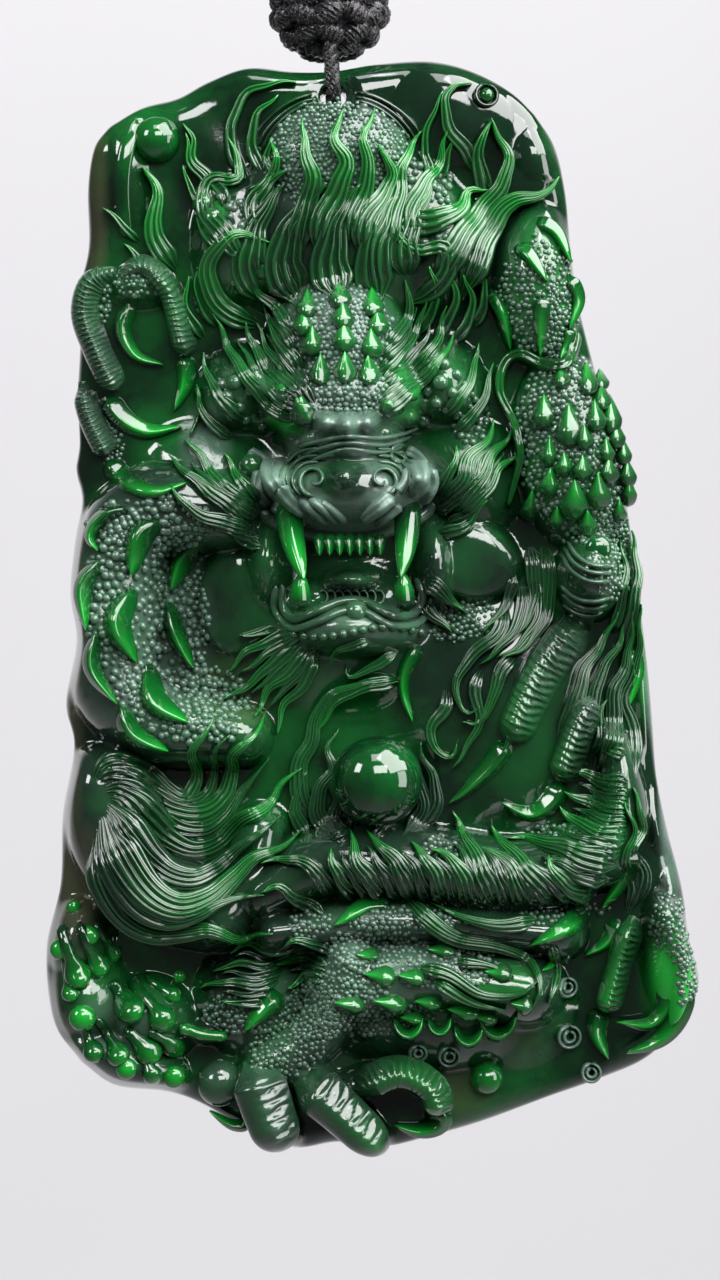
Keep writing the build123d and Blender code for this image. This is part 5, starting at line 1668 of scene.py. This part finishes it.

# %% [markdown]
# ## Jade
# Dense jade is nearly black where it is thick, and green light comes through where it is thin.
# The finish mixes three greens by the numbers on the mesh, adds clouds, lets a little light through
# the surface and covers it with a hard polish, which is duller where the carving is fine. The vivid
# green is painted light on thin and lit parts, where an emission also paints a glow, and the pale
# green is frost together with painted highlights on crests and on the right rim.

# %% Jade finish
jade = Finish("carved_jade")
bright, frost, rind = jade.number("bright"), jade.number("frost"), jade.number("rind")
DEEP, GREEN = (0.0016, 0.0135, 0.0046, 1), (0.0032, 0.082, 0.013, 1)
VIVID, PALE, BROWN = (0.009, 0.38, 0.030, 1), (0.14, 0.22, 0.18, 1), (0.100, 0.092, 0.052, 1)
UNLIT, LIT_GREEN = (0, 0, 0, 1), (0.004, 0.20, 0.015, 1)
WAVE_BUMP, GRAIN_BUMP = 0.00006, 0.00009
cloud = jade.noise(110, 5, 0.6)
patch = ((cloud - 0.42) * 4.0).clamped()
base = jade.mix(patch, DEEP, GREEN)
# Painted light: the vivid green is laid on by the glow number, for the light of thin parts and of lit
# tops and zones.
base = jade.mix((bright * bright * (1.0 + patch * 0.6)).clamped(), base, VIVID)
# PALE is the grey-green of frosted stone; the frost number also carries painted highlights on strand
# crests, toe plates and the right rim, which this makes paler.
base = jade.mix((frost * 0.75).clamped(), base, PALE)
base = jade.mix((rind * (0.35 + cloud * 0.7)).clamped(), base, BROWN)
grain = jade.noise(2400, 3, 0.65)
wave = jade.noise(260, 2)
normal = jade.bump(wave, WAVE_BUMP, 0.5)
normal = jade.bump(grain * (frost * 0.9 + 0.06), GRAIN_BUMP, 0.7, before=normal)
# Painted glow: an emission makes the parts with the most glow shine green, though they are no lamp.
light_through = jade.mix((bright**3.0 * 1.2).clamped(), UNLIT, LIT_GREEN)
jade.finish(Base_Color=base, Roughness=0.07 + frost * frost * 0.34, Normal=normal,
            Coat_Weight=0.25 - frost * 0.2, Coat_Roughness=0.05, IOR=1.62,
            Subsurface_Weight=0.15, Subsurface_Scale=0.0010, Subsurface_Radius=(0.15, 1.0, 0.25),
            Emission_Color=light_through, Emission_Strength=0.45)
for piece in jade_pieces:
    piece.data.materials.append(jade.material)
    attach(piece, "plaque")
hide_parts("jade_plaque")

# %% Cord finish
nylon = Finish("black_nylon")
NYLON_DARK, NYLON_LIT = (0.004, 0.003, 0.005, 1), (0.048, 0.039, 0.050, 1)
THREAD_BUMP = 0.00016
lie, roll = nylon.number("lie"), nylon.number("roll")
speck = nylon.noise(5200, 2, 0.7)
thread = (lie * 9.0 + roll * 4.0 + speck * 2.0).maths("SINE")
# The cord is painted lighter along the thread lines, its braid, and at random specks, which are
# painted glints.
shine = ((speck - 0.45) * 6.0).clamped()
weave_and_sheen = nylon.mix((thread * 0.3 + shine * 0.7).clamped(), NYLON_DARK, NYLON_LIT)
nylon.finish(Base_Color=weave_and_sheen, Roughness=0.22 + shine * 0.1,
             Normal=nylon.bump(thread + speck * 2.0, THREAD_BUMP, 1.0),
             Coat_Weight=0.5, Coat_Roughness=0.12, Sheen_Weight=0.06, Sheen_Roughness=0.4)
for piece in (hanging_cord, hole_cord, knot):
    piece.data.materials.append(nylon.material)
    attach(piece, "cord")
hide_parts("hanging_cord")
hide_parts("cord_bight")
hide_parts("cord_knot")

# %% [markdown]
# ## Studio
# A pale floor well below the hanging pendant sweeps up behind it without an edge, lit by its own
# lamp. The pendant is lit from the upper right by a large window, nearly side on, which catches
# the crests and the cut sides of the claws, with smaller ones round it and a strip at the left.

# %% Floor and lights
FLOOR_DROP = 1.2
FLOOR_Z = cad_box[0][2] - FLOOR_DROP
SWEEP_HALF, SWEEP_FRONT, SWEEP_START, SWEEP_RADIUS, SWEEP_TOP = 4.0, -2.0, 1.6, 1.4, 3.5
turn = np.linspace(0, math.pi / 2, 25)
profile = np.vstack([
    [(SWEEP_FRONT, FLOOR_Z)],
    np.column_stack([SWEEP_START + SWEEP_RADIUS * np.sin(turn),
                     FLOOR_Z + SWEEP_RADIUS * (1 - np.cos(turn))]),
    [(SWEEP_START + SWEEP_RADIUS, SWEEP_TOP)]])
sweep_points = np.array([(x, y, z) for y, z in profile for x in (-SWEEP_HALF, SWEEP_HALF)])
floor = new_mesh("floor", sweep_points, grid_quads(len(profile), 2))
pale = Finish("pale_floor")
pale.finish(Base_Color=pale.mix(pale.noise(3, 2), (0.66, 0.65, 0.67, 1), (0.70, 0.69, 0.71, 1)),
            Roughness=0.8)
floor.data.materials.append(pale.material)

MIDDLE = Vector((aim_x, AIM_DEPTH, aim_z))


def softbox(name, place, width, height, power):
    """A rectangular area light that faces the pendant's middle."""
    light = bpy.data.lights.new(name, "AREA")
    light.shape, light.size, light.size_y = "RECTANGLE", width, height
    light.energy = power
    lamp = bpy.data.objects.new(name, light)
    lamp.location = MIDDLE + Vector(place)
    lamp.rotation_euler = (MIDDLE - lamp.location).to_track_quat("-Z", "Y").to_euler()
    bpy.context.scene.collection.objects.link(lamp)
    return lamp


# name, place from the pendant's middle, width, height, power
LAMPS = [
    ("window", (0.34, -0.17, 0.42), 0.60, 0.60, 10.0),
    ("window_above", (0.00, -0.26, 0.54), 0.22, 0.22, 0.8),
    ("window_beside", (0.56, -0.22, 0.02), 0.26, 0.36, 1.7),
    ("high_window", (0.10, -0.50, 0.30), 0.34, 0.20, 2.3),
    ("left_window", (-0.40, -0.26, 0.30), 0.16, 0.20, 1.2),
    ("backdrop_light", (0.0, 0.7, 1.5), 2.4, 1.0, 86.0),
]
lamps = {row[0]: softbox(*row) for row in LAMPS}
lamps["backdrop_light"].rotation_euler = (math.radians(68), 0, 0)

# %% Room light
# The backdrop is bright where the camera sees it, and gives the stone only a little light.
SEEN_MORE, ROOM_STRENGTH = 0.74, 0.10
world = bpy.data.worlds.new("studio")
bpy.context.scene.world = world
world.use_nodes = True
nodes, links = world.node_tree.nodes, world.node_tree.links
backdrop = nodes["Background"]
backdrop.inputs["Color"].default_value = (0.78, 0.78, 0.81, 1)
seen = nodes.new("ShaderNodeLightPath")
strength = nodes.new("ShaderNodeMath")
strength.operation = "MULTIPLY_ADD"
strength.inputs[1].default_value = SEEN_MORE
strength.inputs[2].default_value = ROOM_STRENGTH
links.new(seen.outputs["Is Camera Ray"], strength.inputs[0])
links.new(strength.outputs[0], backdrop.inputs["Strength"])
bpy.context.scene.view_settings.view_transform = "Standard"
